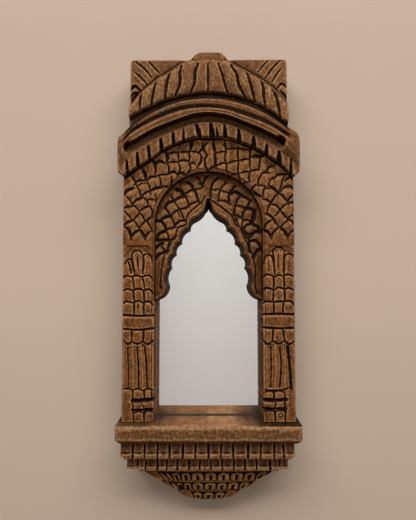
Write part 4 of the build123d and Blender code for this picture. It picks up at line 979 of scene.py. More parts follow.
def eave_block():
    t = eave_rows()
    ends = eave_end(t)
    u = np.linspace(-1, 1, 421)
    across = u * EAVE_HALF
    U, T = np.meshgrid(u, t, indexing="ij")
    X = U * ends
    Z = eave_heights(X, T, across)
    # the mouldings die into a flat face near both ends
    flat = ramp(-X, 110, 119) + ramp(X, 104, 116)
    D = np.interp(T, SECTION_H, SECTION_DEEP)
    D += (np.interp(T, END_H, END_DEEP) - D) * flat
    D += 0.5 * ramp(T, 40, 42) * ramp(49.5 - T, 0, 2.5) * noise(X, T, 14, 41)
    f = Field(X, Z, 500)
    f.traced(TOOTH_GAPS, TOOTH, "tail", shoulder=0.4, soft_width=1.8, power=3.0)
    teeth = ramp(TOOTH_H + 0.4 - T, 0, 0.8)
    D -= f.carved() * teeth
    slot, floor = eave_slot(X, Z, T)
    D = np.where(slot, np.minimum(floor, D), D)
    D -= f.hand(0.16) * np.where(slot, 0.4, 1.0)
    # worn edges, a worn ridge with nicks, and thin lines along the moulding
    D -= np.where(T < 20, rounded(T, 1.2 + 0.5 * noise(X, 0, 6, 9)), 0) + 0.8 * rounded(ends - np.abs(X), 2.2)
    D -= bell(T - 30.5, 1.6) * (0.35 + 0.5 * np.clip(noise(X, 0, 5, 51), 0, 1))
    for height, deep in THIN_LINES:
        D -= deep * bell(T - height, 0.55) * (1 + 0.6 * noise(X, 0, 20, int(height)))
    D = np.minimum(D, RIDGE - 0.05)
    # painted shade and darker wood: the top of the slot, the fillet below the dome and the groove behind the
    # ridge are painted shade, and the roll and the ridge are painted darker
    shade = np.where(slot, 1.2 * ramp(T, 26.5, 28.8), 0) + 0.5 * ramp(T, 40.3, 41.5) + 0.8 * ramp(T, 49, 51.5)
    shade += 0.55 * ramp(T, 29, 29.5) * ramp(36 - T, 0, 1)
    shade += 1.5 * ramp(T, 35.3, 36.1) * ramp(40.6 - T, 0, 0.8)
    shade = shade * (1 - flat) + 0.3 * flat
    # the slot's upper wall is painted black as shade
    shade = np.where((T >= SLOT_TOP_H - 0.05) & (T < SLOT_TOP_H + 0.03) & (flat < 0.5), 1.7, shade)
    # painted light: the slot's lower floor is paled where it lies in shadow
    wear_and_light = np.where(slot, 0.9 * (1 - ramp(T, 25.5, 28)), 0)
    calm = np.where(slot, 0.95, 0.6 * ramp(T, 29, 30))
    # painted shade also in the gaps between the teeth
    return body("eave_block", X, Z, D, eave_back(X, Z, across), highest(f.cut * teeth, shade), wear_and_light, calm)


# Crown: half width and depth of cut of each rib's gouge, then its pixels
RIBS = [
    (2.3, 4.2, (142, 92.5), (140.5, 101), (140, 110)),
    (2.7, 4.8, (156, 82), (154, 91), (151.5, 106.5)),
    (2.8, 5.0, (170, 72), (167, 83.5), (165, 101)),
    (3.0, 5.2, (181.5, 66.5), (180, 73), (180, 84.5), (175.5, 96)),
    (2.8, 5.0, (198, 64), (195, 73), (194.5, 83.5), (190.5, 93)),
    (1.9, 4.4, (208, 64), (208, 78.5), (208, 91.5)),
    (2.4, 4.8, (218, 63.5), (222, 74.5), (225, 86), (228.5, 95.5)),
    (2.8, 5.0, (231, 65.5), (236.5, 74.5), (239, 87), (246.5, 99.5)),
    (2.8, 5.0, (246.5, 70), (249.5, 81), (252, 91), (255.5, 104)),
    (2.6, 5.0, (260, 78.5), (263, 87), (263.5, 97.5), (265.5, 107.5)),
    (2.9, 5.0, (272.5, 89.5), (276, 97.5), (278.5, 109), (280, 117.5)),
]
HATCH = [
    (1.0, 1.9, (136, 62), (144, 68), (151, 76.5)), (1.0, 1.9, (148, 60.5), (153, 66), (159, 72.5)),
    (1.0, 1.8, (135.5, 72.5), (140.5, 77), (146.5, 83.5)), (0.9, 1.6, (268, 60.5), (263, 65.5), (259, 71)),
    (1.0, 1.8, (280, 60.5), (272.5, 68), (265.5, 77.5)), (0.9, 1.6, (280.5, 69), (276, 75), (272, 81.5)),
]
CURLS = [
    (1.6, 2.6, (130.5, 89.5), (134.5, 85.5), (139.5, 89.5)),
    (1.4, 2.4, (132, 99.5), (135.5, 94.5), (139.5, 91.5)),
    (1.1, 2.2, (131, 96), (133.5, 92.5), (136.5, 92)),
    (1.2, 2.0, (277.5, 87.5), (282, 83), (287, 87)),
    (1.3, 2.2, (281, 90.5), (284.5, 94), (287, 98.5)),
]
# Lines of the crown in pixels: upper edge and foot of the dome, and outline of the knob
DOME_EDGE = [(129.5, 105.5), (133, 101), (139, 93.5), (144, 88.5), (150.5, 83.5), (158, 77),
             (166, 73), (176, 66.5), (182, 62), (190, 59.5), (208, 57.5), (227.5, 59.5), (238.5, 66),
             (246.5, 70), (259, 77), (267.5, 82.5), (275, 88.5), (281.5, 96), (288.5, 104)]
DOME_FOOT = [(130.5, 116.5), (142.5, 109.5), (154, 104.5), (163.5, 99.5), (176, 96.5), (191, 93.5), (208, 92),
             (228.5, 96), (255.5, 105), (279.5, 118), (287.5, 122.5)]
KNOB = [(187.5, 60), (190.5, 59), (193.5, 57), (195.5, 55), (198.5, 53.5), (203, 52.5), (210, 52),
        (217, 52.5), (222, 54), (224.5, 56), (226.5, 58), (230.5, 60)]

# The crown's boards: depth of their faces, and radius of their corners
BOARD_DEEP, CROWN_CORNER = 39.6, 4.0
# The dome: depth at its top edge and at its swell, and the swell's place in its height
DOME_TOP_DEEP, DOME_DEEP, SWELL = 42.4, 50.4, 0.22
# The border along the dome's top edge
BORDER_WIDE, BORDER_DEEP = 4.8, 44.2
# The knob: depth of its face, and its highest point
KNOB_DEEP, KNOB_TOP = 43.2, 308.2
# Punch marks across the foot of the knob: number, first pixel and pixels between them
PUNCHES, PUNCH_U, PUNCH_V, PUNCH_GAP = 11, 194, 60.0, 3.1


def crown_top(xs):
    """Upper edge of the crown, with round corners and the knob."""
    past = np.clip((np.abs(xs) - (CROWN_HALF - CROWN_CORNER)) / CROWN_CORNER, 0, 1)
    top = CROWN_TOP + 0.5 + 0.006 * xs - CROWN_CORNER * (1 - np.sqrt(1 - past ** 2))
    knob = places(KNOB, 40)
    bump = running_mean(np.interp(xs, knob[:, 0], knob[:, 1], left=0, right=0), 2)
    return np.minimum(np.maximum(top, bump) + 0.25 * noise(xs, 0, 12, 5), KNOB_TOP)


def punch_marks(X, Z):
    marks = np.zeros_like(X)
    for k in range(PUNCHES):
        rise = 0.9 * math.sin(math.pi * k / (PUNCHES - 1))
        x, z = at(PUNCH_U + PUNCH_GAP * k, PUNCH_V - rise, KNOB_DEEP - 0.2)
        marks += np.exp(-((X - x) ** 2 + ((Z - z) / 1.4) ** 2) / 1.2)
    return marks


def dome_depth(gap, height):
    """Section of the dome between its foot, its swell and its upper edge, which has a low border."""
    over = DOME_TOP_DEEP + (DOME_DEEP - DOME_TOP_DEEP) * np.sqrt(
        np.clip(1 - ((height - SWELL) / (1 - SWELL)) ** 2, 0, 1))
    dome = np.where(height < SWELL, DOME_DEEP - 2.2 * ((SWELL - height) / SWELL) ** 2, over)
    border = ramp(BORDER_WIDE - gap, 0, 1.0)
    flat = np.minimum(dome, BORDER_DEEP - 0.25 * np.abs(gap - BORDER_WIDE / 2))
    return dome * (1 - border) + flat * border


def crown_block():
    xs = np.linspace(-CROWN_HALF, CROWN_HALF, 393)
    low, top = DOME_LOW - drop(xs), crown_top(xs)
    share = np.linspace(0, 1, 150)
    X = np.repeat(xs[:, None], len(share), 1)
    Z = low[:, None] + (top - low)[:, None] * share
    f = Field(X, Z, 900)
    for half, deep, *line in RIBS:
        side = -1 if line[0][0] < CENTRE_U else 1
        f.groove(places(line, 46), half, deep, shoulder=0.9, soft_width=3.2, lie=(side, -0.2), slope=0.6,
                 slope_width=4.8, power=2.0, longer=0)
    g = Field(X, Z, 950)
    g.traced(HATCH, 40, shoulder=0.3, soft_width=1.6)
    g.traced(CURLS, 41, shoulder=0.6, soft_width=2.0)
    edge = places(DOME_EDGE, 43)
    edge_z = running_mean(np.interp(xs, edge[:, 0], edge[:, 1]), 6)
    # gap is measured square to the dome's upper edge, so that its border keeps one width
    square = np.sqrt(1 + np.gradient(edge_z, xs) ** 2)[:, None]
    edge_z = edge_z[:, None]
    gap = (edge_z - Z) / square
    foot = places(DOME_FOOT, 49)
    foot = np.maximum(np.interp(xs, foot[:, 0], foot[:, 1]), low + 1.2)[:, None]
    height = np.clip(1 - gap / np.maximum((edge_z - foot) / square, 1), 0, 1)
    rib_zone = (1 - ramp(4.4 - gap, 0, 1.2)) * ramp(Z - foot, 0, 1.5)
    dome = dome_depth(gap, height) - f.carved() * rib_zone
    # flat corner boards fall away towards the dome, with a groove where they meet it
    far = np.clip(-gap, 0, 30)
    board = BOARD_DEEP - 2.6 * bell(far, 4.5) - g.cut - 0.5 * g.soft
    knob = places(KNOB, 40)
    on_knob = ramp(knob[-1, 0] - 3 - X, 0, 9) * ramp(X - knob[0, 0] - 3, 0, 9)
    board = board * (1 - on_knob) + (KNOB_DEEP - 0.9 * np.clip((Z - 296) / 10, 0, 1) ** 2) * on_knob
    side = ramp(gap, -0.6, 1.4) * (1 - on_knob) + ramp(gap, -0.6, 3.0) * on_knob
    D = board * (1 - side) + dome * side
    punched = punch_marks(X, Z)
    D -= punched + f.hand(0.2)
    D -= np.where(Z > foot, rounded(Z - foot, 3.2 + 0.6 * noise(X, 0, 7, 8)), 0)
    # the cove below the dome
    cove = ramp(foot - Z, -0.3, 1.0) * side
    D = D * (1 - cove) + (KNOB_DEEP + 0.12 * (Z - low[:, None])) * cove
    D -= rounded(top[:, None] - Z, 0.8) + rounded(CROWN_HALF - np.abs(X), 1.6 + 0.5 * noise(Z, 0, 8, 6))
    # painted shade in the ribs' gouges and on their gentle slopes, in the hatching, where the dome turns
    # under at its foot and in its cove, along its upper edge, on the boards beside it and in the punch marks
    dirt_and_shade = highest(f.cut * rib_zone * 0.8, g.cut * (1 - side), 1.05 * f.slope_shade * rib_zone * side,
                   ramp(6.0 - (Z - foot), 0, 5.5), (1.0 + 0.4 * noise(X, Z, 6, 91)) * cove,
                   0.75 * bell(gap - 1.2, 1.6) * (1 - on_knob),
                   (1 - side) * (1 - on_knob) * ramp(3.0 - far, 0, 3), 1.2 * np.clip(punched, 0, 1))
    return body("crown_block", X, Z, D, [(xs, top, 0), (xs, low, 0)], dirt_and_shade, calm=0.8 * bell(gap, 2.2))


# Shelf: half width, depth and bevel of its front
SHELF_HALF, SHELF_DEEP, BEVEL, SHELF_ARRIS = 121.5, 53.0, 5.9, 2.4
# Middle of its section, from which its face swells and sinks
SHELF_MIDDLE = (26.0, SHELF_TOP - 12)


def shelf_section():
    """Depth and height of the points of the shelf's section, from the back round the front to the top."""
    corners = [(0, RAIL_1_TOP), (SHELF_DEEP - BEVEL, RAIL_1_TOP), (SHELF_DEEP, RAIL_1_TOP + BEVEL),
               (SHELF_DEEP, SHELF_TOP - SHELF_ARRIS), (SHELF_DEEP - SHELF_ARRIS, SHELF_TOP),
               (REBATE, SHELF_TOP)]
    legs = []
    for start, end in zip(corners, corners[1:]):
        n = max(2, round(math.dist(start, end) / 0.8))
        legs.append(np.linspace(start, end, n, endpoint=False))
    return np.vstack(legs + [corners[-1:]])


def sill_ledge():
    section = shelf_section()
    xs = np.linspace(-SHELF_HALF, SHELF_HALF, 345)
    X = np.repeat(xs[:, None], len(section), 1)
    D, Z = [np.repeat(section[None, :, k], len(xs), 0) for k in (0, 1)]
    # blunt lower corners at the ends, and softened end corners of the front
    end_low = RAIL_1_TOP + np.clip(np.abs(X) - (SHELF_HALF - BEVEL), 0, BEVEL)
    Z = np.maximum(Z, end_low + 0.001 * (Z - RAIL_1_TOP))
    D -= rounded(SHELF_HALF - np.abs(X), 3.0) * ramp(D, 30, 50)
    # the face is uneven, and its upper front edge is worn and nicked
    out_d, out_z = D - SHELF_MIDDLE[0], Z - SHELF_MIDDLE[1]
    bump = 0.26 * noise(X, Z * 3, 10, 61) + 0.16 * noise(X, Z, 3, 62)
    bump += 0.09 * noise(X * 2.2, Z * 0.3, 1.6, 63)
    arris = np.exp(-((D - SHELF_DEEP) ** 2 + (Z - SHELF_TOP + 1) ** 2) / 6)
    bump -= arris * (0.35 + 0.5 * np.clip(noise(X, 0, 4, 64), 0, 1))
    bump *= ramp(D, 36, 42) / np.hypot(out_d, out_z)
    D = D + out_d * bump
    Z = np.minimum(Z + out_z * bump, SHELF_TOP)
    # the back has a niche for the glass and its board
    niche = np.abs(xs) < REBATE_HALF
    back = [(xs, np.where(niche, REBATE_LOW, SHELF_TOP - 3), np.where(niche, REBATE, 2.5)),
            (xs, np.where(niche, REBATE_LOW, SHELF_TOP - 6), 0)]
    # the top is painted lighter as light falls on it and worn pale right of the middle; painted shade darkens
    # it towards the posts and the back, blackens it along the glass and darkens the low bevel
    pale = ramp(X, -5, 3) * ramp(46 - X, 0, 18)
    painted_top_light = np.clip((Z - SHELF_TOP + 2.6) / 2.2, 0, 1) * 0.45 * (1 - 0.5 * ramp(np.abs(X), 20, 80))
    stain_and_shade = 0.55 * ramp(np.abs(X), 15, 78) + 0.3 * ramp(X, 42, 72) + 0.25 * ramp(40 - D, 0, 30)
    stain_and_shade += 0.42 - 0.22 * pale
    low_edge = RAIL_1_TOP + BEVEL
    dirt_and_shade = highest(ramp(Z, SHELF_TOP - 1.5, SHELF_TOP) * stain_and_shade,
                   1.8 * ramp(REBATE + 3.2 - D, 0, 1.6) * (Z > SHELF_TOP - 3),
                   ramp(low_edge - Z, 0, 3) * ramp(D, 40, 46)) + 0.15 * noise(X, Z, 9, 65)
    low_arris = np.exp(-((D - SHELF_DEEP) ** 2 + (Z - low_edge) ** 2) / 2.5)
    wear_and_light = highest(highest(painted_top_light * (0.6 + pale), arris) * (0.75 + 0.4 * noise(X, D, 6, 66)),
                   0.7 * low_arris * (0.7 + 0.5 * noise(X, Z, 4, 67)))
    return body("sill_ledge", X, Z, D, back, dirt_and_shade, np.clip(wear_and_light, 0, 1))


# Toothed rails: pixel columns of the gaps between teeth, half length, height, depth, and a pixel row
# through the teeth
RAIL_1 = ((132.4, 144.2, 157.3, 169.3, 182.8, 195.4, 208.4, 221.1, 233.3, 248.4, 261.1, 274.7, 284.1),
          112.5, RAIL_1_HIGH, 47.0, 453)
RAIL_2 = ((137.2, 145.6, 157.2, 166.6, 177.2, 189.1, 199.9, 211.1, 222.4, 234, 245.2, 256.9, 270.5, 280),
          105.0, RAIL_2_HIGH, 41.0, 465)
# Both rails reach this much farther to the left, and step in at their ends
RAIL_LEFT, RAIL_END = 3.0, 14.0
# Section of a tooth: share of its height from the top, and loss of depth
TOOTH_SHARE = (0, 0.10, 0.56, 0.62, 0.74, 0.92, 1.0)
TOOTH_LOSS = (2.2, 2.7, 2.3, 2.7, 0.1, 0.2, 1.8)


def rail(node, sizes, top, seed):
    gaps, half, height, deep, row_v = sizes
    low = top - height
    X, Z = grid((-half - RAIL_LEFT, half), (low, top), step=0.45)
    # the ends are cut back under the lip
    past = np.abs(X) - half + RAIL_END
    if node == "upper_tooth_rail":
        under = ramp(low + 0.3 * height - Z, 0, 0.24 * height)
        X = X * (1 - 5.5 / half * under * np.clip(past / RAIL_END, 0, 1))
    else:
        Z = top - (top - Z) * (1 - 0.2 * ramp(past, 0, 1.5))
    f = Field(X, Z, seed)
    rng = np.random.default_rng(seed)
    gap_x = [at(u, row_v, deep)[0] for u in gaps]
    for x in gap_x:
        slant = rng.uniform(-0.6, 0.9)
        line = [(x + slant, top + 2), (x - slant, low - 2)]
        f.groove(line, rng.uniform(1.1, 1.5), 6.0, "even", soft_width=1.3, power=3.0)
    share = (top - Z) / height
    each = rng.uniform(-0.5, 0.3, len(gaps) + 2)
    D = deep - np.interp(share, TOOTH_SHARE, TOOTH_LOSS) + 0.7 * each[np.searchsorted(gap_x, X)]
    D -= f.taken() + rounded(np.minimum(half - X, X + half + RAIL_LEFT), 2.0) + 0.3 * noise(X, Z, 5, seed + 9)
    # painted shade under the shelf, in the gouges and in the crease across the teeth; the pale band along the
    # lip is wear with painted highlight
    dirt_and_shade = highest(f.cut * 0.8, 1.3 * ramp(0.16 - share, 0, 0.12), bell(share - 0.60, 0.035))
    wear_and_light = 0.9 * bell(share - 0.76, 0.08) * (0.6 + 0.4 * noise(X, Z, 3, seed + 5))
    back = [(X[:, -1], Z[:, -1], 0), (X[:, 0], Z[:, 0], 0)]
    return body(node, X, Z, D, back, dirt_and_shade, np.clip(wear_and_light, 0, 1))


# Corbel: height, half width at top and bottom, and depth of its three rows
CORBEL_ROWS = ((16.5, 86.5, 65.0, 34.0), (15.5, 64.5, 45.0, 27.0), (16.2, 42.5, 0.0, 20.0))
CORBEL_FOOT_DEEP = 8.0
# Depth of cut between the petals and in their slots, and the narrowest petal with a slot, in pixels
PETAL_GROUND, PETAL_SLOT, SLOTTED = 4.2, 5.0, 7
# Rows of petals on the corbel: the plane that they are seen on, pixel rows of their top and foot, and
# pixel columns of each line between two petals, at its top and foot
CORBEL_PETALS = (
    (33, 472.2, 481.8, ((156.5, 165), (162.5, 170.5), (169, 174.5), (180, 181.5), (190.5, 191.5),
                        (204, 204.5), (217.5, 217), (230.5, 230), (244.5, 243), (257.5, 254.5),
                        (272, 259.5))),
    (26, 482.4, 490.7, ((168.5, 175), (174, 180), (182.5, 184), (191.5, 192.5), (204, 204), (217, 216),
                        (228, 226.5), (240.5, 238), (253.5, 243))),
    (19, 491.6, 501.0, ((191, 196.5), (203, 202), (214.5, 214.5), (227.5, 220))),
)


def row_tops():
    """Height of the top of each row of the corbel, and of its foot."""
    return CORBEL_TOP - np.cumsum([0] + [row[0] for row in CORBEL_ROWS])


def corbel_half(z):
    """Half width of the corbel at each height: three rows whose ends curve in and down."""
    out = np.zeros_like(z)
    for top, (height, wide, narrow, _) in zip(row_tops(), CORBEL_ROWS):
        bend = np.clip(((top - z) / height - 0.25) / 0.75, 0, 1)
        here = narrow + (wide - narrow) * (1 - bend ** 1.25) ** (0.5 if narrow == 0 else 1.0)
        out = np.where((z <= top) & (z > top - height), here, out)
    return np.maximum(out, 2.0)


def petal_row(X, Z, plane, top_v, low_v, lines):
    """Which points lie in one row of petals, and the depth of cut there."""
    U, V = seen(X, Z, plane)
    high, down = low_v - top_v, V - top_v
    share = down / high
    sides = [start + (end - start) * share for start, end in lines]
    # ground between the petals, and the dark joint under the row
    inside = (U > sides[0] - 0.6) & (U < sides[-1] + 0.6)
    cut = np.where(inside, PETAL_GROUND, 0.9 * ramp(share, 0.75, 1.0))
    for (start, _), (end, _), left, right in zip(lines, lines[1:], sides, sides[1:]):
        wide = np.maximum((right - left) / 2, 1)
        across = (U - (left + right) / 2) / wide
        bent = np.hypot(across, np.clip(1 - down / (0.36 * high), 0, None))
        inset = np.minimum((1 - bent) * wide, low_v + 0.3 - V)
        petal = PETAL_GROUND * (1 - ramp(inset, 0.45, 1.35))
        if end - start > SLOTTED:
            slot = ramp(1.75 - np.abs(across * wide), 0, 0.8)
            petal = np.maximum(petal, PETAL_SLOT * slot * ramp(share, 0.30, 0.42) * ramp(1.0 - share, 0, 0.1))
        petal -= 0.7 * ramp(share, 0.3, 0.95) + 0.35 * noise(X, Z, 3.0, int(start))
        cut = np.where(np.abs(across) <= 1, petal, cut)
    return (share > -0.04) & (share <= 1.06), cut


def base_corbel():
    tops = row_tops()
    z = np.concatenate([np.linspace(top - 0.02, low + 0.02, 34) for top, low in zip(tops, tops[1:])])
    half = corbel_half(z)
    X = half[:, None] * np.linspace(-1, 1, 331)
    Z = np.repeat(z[:, None], X.shape[1], 1)
    D = np.zeros_like(X)
    depths = [row[3] for row in CORBEL_ROWS] + [CORBEL_FOOT_DEEP]
    for k, (height, wide, narrow, deep) in enumerate(CORBEL_ROWS):
        part = (tops[k] - Z) / height
        p = np.clip(part, 0, 1)
        face = deep - 1.2 * ramp(0.25 - p, 0, 0.25) - (deep - depths[k + 1] - 2.5) * p ** 2.4 * 0.75
        face = face * (1 - 0.13 * np.abs(X / wide) ** 2.5) + (3.5 * p if narrow == 0 else 0)
        D = np.where((part >= 0) & (part <= 1), face, D)
    cut = np.zeros_like(X)
    for petals in CORBEL_PETALS:
        row, ground = petal_row(X, Z, *petals)
        cut = np.where(row, ground, cut)
    D = np.maximum(D - cut - Field(X, Z, 1200).hand(0.25), 2.0) - rounded(half[:, None] - np.abs(X), 1.5)
    # painted shade in the cuts between and in the petals; the lowest row is darker all over
    dirt_and_shade = np.maximum(cut * 0.8, 0.75 * (Z < tops[2]))
    return body("base_corbel", X, Z, D, [(half, z, 0), (-half, z, 0)], dirt_and_shade)


# Materials

class Shader:
    """The nodes of a material or of the world, added by short calls."""

    def __init__(self, owner):
        owner.use_nodes = True
        self.owner, self.tree = owner, owner.node_tree
        self.tree.nodes.clear()
        self.coordinates = self.add("TexCoord").outputs

    def add(self, kind, settings=(), **sockets):
        """A node with its settings and sockets, which are named, or numbered as _0 and so on."""
        node = self.tree.nodes.new("ShaderNode" + kind)
        for key, value in settings:
            setattr(node, key, value)
        for key, value in sockets.items():
            socket = node.inputs[int(key[1:]) if key[0] == "_" else key.replace("_", " ")]
            if isinstance(value, bpy.types.NodeSocket):
                self.tree.links.new(value, socket)
            else:
                socket.default_value = value
        return node

    def math(self, operation, a, b):
        return self.add("Math", [("operation", operation)], _0=a, _1=b).outputs[0]

    def fit(self, value, low, high, to_low=0.0, to_high=1.0):
        node = self.add("MapRange", Value=value, From_Min=low, From_Max=high, To_Min=to_low, To_Max=to_high)
        return node.outputs[0]

    def mix(self, share, a, b):
        return self.add("Mix", [("data_type", "RGBA")], _0=share, _6=a, _7=b).outputs[2]

    def noise(self, scale, stretch=(1, 1, 1), detail=3.0, rough=0.5, shift=(0, 0, 0)):
        where = self.add("Mapping", Vector=self.coordinates["Object"], Scale=stretch, Location=shift)
        node = self.add("TexNoise", Vector=where.outputs[0], Scale=scale, Detail=detail, Roughness=rough)
        return node.outputs[0]

    def mark(self, label):
        return self.add("Attribute", [("attribute_name", label)]).outputs["Fac"]

    def bump(self, height, strength, distance):
        return self.add("Bump", Height=height, Strength=strength, Distance=distance).outputs[0]

    def surface(self, colour, rough, **more):
        return self.add("BsdfPrincipled", Base_Color=colour, Roughness=rough, **more).outputs[0]

    def finish(self, surface, output="OutputMaterial"):
        self.add(output, Surface=surface)
        return self.owner


def material(name):
    return Shader(bpy.data.materials.new(name))


def rgba(colour, tone=(1.0, 1.0, 1.0)):
    return (*[c * t for c, t in zip(colour, tone)], 1.0)


# Colours of the wood: its darkest and its usual brown, pale wear with painted highlight, and dark pores, and
# dirt with painted shade
DARK_BROWN, BROWN, PALE_WEAR_AND_HIGHLIGHT = (0.058, 0.0215, 0.0072), (0.205, 0.083, 0.0285), (0.46, 0.245, 0.112)
GREY_BROWN, PORE, GRIME_AND_SHADE = (0.085, 0.060, 0.042), (0.016, 0.0070, 0.0032), (0.0105, 0.0050, 0.0024)
# Carved woods: tone, shift of the pattern and share of grey
WOODS = {
    "top": ((1.02, 0.98, 0.90), 0.13, 0.10),
    "posts": ((1.08, 0.99, 0.86), 0.71, 0.0),
    "field": ((0.95, 0.86, 0.74), 0.37, 0.0),
    "shelf": ((0.95, 0.98, 1.0), 0.92, 0.0),
    # the panel's darker tone is painted shade, as it lies set back under the arch head
    "panel": ((0.86, 0.77, 0.66), 0.55, 0.0),
    "rails": ((0.88, 0.88, 0.88), 0.22, 0.0),
    "corbel": ((1.12, 1.05, 0.86), 0.47, 0.0),
}


def carved_wood(name, tone, shift, grey):
    t = material("wood_" + name)
    streak = t.noise(430, (1, 1, 0.07), 4, 0.6, (shift, 0, 0))
    mottle = t.noise(330, (1, 1, 0.55), 4, 0.62, (0, shift, 0))
    fine = t.noise(900, (1, 1, 0.35), 3, 0.6, (0, shift, 0.2))
    patch = t.noise(24, (1, 1, 0.6), 4, 0.6, (shift, shift, 0))
    cloud = t.noise(95, (1, 1, 0.5), 3, 0.55, (0, 0, shift))
    brown = t.mix(t.fit(mottle, 0.36, 0.64), rgba(DARK_BROWN, tone), rgba(BROWN, tone))
    for pattern, low, high, strength, colour in (
        (streak, 0.40, 0.68, 0.5, (0.27, 0.118, 0.043)),
        (patch, 0.40, 0.70, 0.5, (0.225, 0.094, 0.034)),
        (cloud, 0.50, 0.74, 0.55, (0.042, 0.0160, 0.0060)),
        (fine, 0.52, 0.70, 0.5, (0.34, 0.163, 0.067)),
    ):
        brown = t.mix(t.fit(pattern, low, high, 0.0, strength), brown, rgba(colour, tone))
    # worn arrises with painted highlight, pits and short dark pores, and dirt with painted shade in the
    # hollows
    wear_and_highlight = t.math("MULTIPLY", t.fit(t.mark("crest"), 0.15, 0.9), t.fit(mottle, 0.35, 0.6, 0.3, 1.0))
    brown = t.mix(t.math("MULTIPLY", wear_and_highlight, 0.75), brown, rgba(PALE_WEAR_AND_HIGHLIGHT, tone))
    if grey:
        brown = t.mix(grey, brown, rgba(GREY_BROWN))
    pit = t.fit(t.noise(620, (1, 1, 0.6), 3, 0.6, (0.3, shift, 0.1)), 0.565, 0.665)
    brown = t.mix(t.math("MULTIPLY", pit, 0.8), brown, rgba(PORE))
    dirt_and_shade = t.math("MULTIPLY", t.fit(t.mark("hollow"), 0.08, 0.75), t.fit(cloud, 0.3, 0.6, 1.0, 0.86))
    brown = t.mix(dirt_and_shade, brown, rgba(GRIME_AND_SHADE))
    height = t.math("ADD", t.math("MULTIPLY", streak, 0.5), t.math("MULTIPLY", mottle, 0.8))
    height = t.math("SUBTRACT", height, t.math("MULTIPLY", pit, 0.8))
    return t.finish(t.surface(brown, t.fit(mottle, 0.3, 0.7, 0.66, 0.52), Normal=t.bump(height, 0.6, 0.0007),
                              Specular_IOR_Level=0.05))


def mirror_material():
    t = material("mirror")
    haze = t.noise(9)
    edge = t.noise(160, rough=0.6)
    tint = t.mix(t.fit(haze, 0.3, 0.7), rgba((0.90, 0.895, 0.885)), rgba((0.93, 0.925, 0.92)))
    return t.finish(t.surface(tint, t.fit(edge, 0.3, 0.8, 0.035, 0.06), Metallic=1.0))


def hardboard_material():
    t = material("hardboard")
    fibre = t.noise(900, detail=5, rough=0.7)
    weave = t.noise(240, detail=2)
    blot = t.noise(14)
    c = t.mix(t.fit(fibre, 0.35, 0.65), rgba((0.16, 0.092, 0.05)), rgba((0.27, 0.17, 0.10)))
    c = t.mix(t.fit(blot, 0.35, 0.7, 0, 0.4), c, rgba((0.12, 0.07, 0.04)))
    bump = t.bump(t.math("ADD", fibre, weave), 0.4, 0.0003)
    return t.finish(t.surface(c, t.fit(fibre, 0.3, 0.7, 0.75, 0.9), Normal=bump))


def steel_material(name, bright):
    t = material(name)
    scratch = t.noise(1400, (1, 1, 0.2), rough=0.6)
    rust = t.noise(350, detail=4, rough=0.65)
    tone = (bright, bright, bright)
    c = t.mix(t.fit(scratch, 0.3, 0.7), rgba((0.30, 0.30, 0.31), tone), rgba((0.52, 0.52, 0.53), tone))
    c = t.mix(t.fit(rust, 0.60, 0.72, 0, 0.7), c, rgba((0.12, 0.06, 0.03)))
    return t.finish(t.surface(c, t.fit(rust, 0.3, 0.8, 0.32, 0.6), Metallic=0.9))


def dowel_material():
    t = material("dowel_wood")
    streak = t.noise(500, (1, 1, 0.08), 4, 0.6)
    c = t.mix(t.fit(streak, 0.35, 0.65), rgba((0.38, 0.24, 0.12)), rgba((0.55, 0.39, 0.22)))
    return t.finish(t.surface(c, t.fit(streak, 0.3, 0.7, 0.5, 0.7)))


def wall_material():
    """Plaster, with painted shade that makes it darker towards the top, that is seen from the front only."""
    t = material("wall")
    cloud = t.noise(2.2)
    speck = t.noise(700, detail=2)
    c = t.mix(t.fit(cloud, 0.3, 0.7), rgba((0.605, 0.470, 0.366)), rgba((0.625, 0.489, 0.383)))
    c = t.mix(t.fit(speck, 0.3, 0.7, 0.0, 0.06), c, rgba((0.4, 0.32, 0.26)))
    # painted shade, darker towards the top
    height = t.add("SeparateXYZ", _0=t.coordinates["Object"]).outputs[2]
    c = t.mix(t.fit(height, 0.0, 0.36, 0.0, 0.33), c, rgba((0.25, 0.19, 0.15)))
    front = t.surface(c, t.fit(speck, 0.3, 0.7, 0.85, 0.95))
    clear = t.add("BsdfTransparent").outputs[0]
    behind = t.add("NewGeometry").outputs["Backfacing"]
    return t.finish(t.add("MixShader", _0=behind, _1=front, _2=clear).outputs[0])


def floor_material():
    t = material("floor")
    cloud = t.noise(3)
    c = t.mix(t.fit(cloud, 0.3, 0.7), rgba((0.62, 0.58, 0.54)), rgba((0.68, 0.64, 0.60)))
    return t.finish(t.surface(c, t.fit(cloud, 0.3, 0.7, 0.7, 0.85)))


# Pieces and what they are made of

def paint(obj, look):
    obj.data.materials.clear()
    obj.data.materials.append(look)


def paint_nodes(names, look):
    for name in names:
        paint(nodes[name], look)


woods = {name: carved_wood(name, *values) for name, values in WOODS.items()}
for made, wood in (
    (post("left_post", -1, LEFT_POST, LEFT_POST_LINES, LEFT_FLUTES, LEFT_HOLLOW, 100), "posts"),
    (post("right_post", 1, RIGHT_POST, RIGHT_POST_LINES, RIGHT_FLUTES, RIGHT_HOLLOW, 200), "posts"),
    (arch_head(), "field"),
    (cusped_arch(), "panel"),
    (eave_block(), "top"),
    (crown_block(), "top"),
    (sill_ledge(), "shelf"),
    (rail("upper_tooth_rail", RAIL_1, RAIL_1_TOP, 1000), "rails"),
    (rail("lower_tooth_rail", RAIL_2, RAIL_2_TOP, 1100), "rails"),
    (base_corbel(), "corbel"),
):
    paint(made, woods[wood])
paint_nodes(["mirror_glass"], mirror_material())
paint_nodes(["back_board"], hardboard_material())
paint_nodes(["crown_dowels", "eave_dowels", "post_dowels_top", "post_dowels_bottom"], dowel_material())
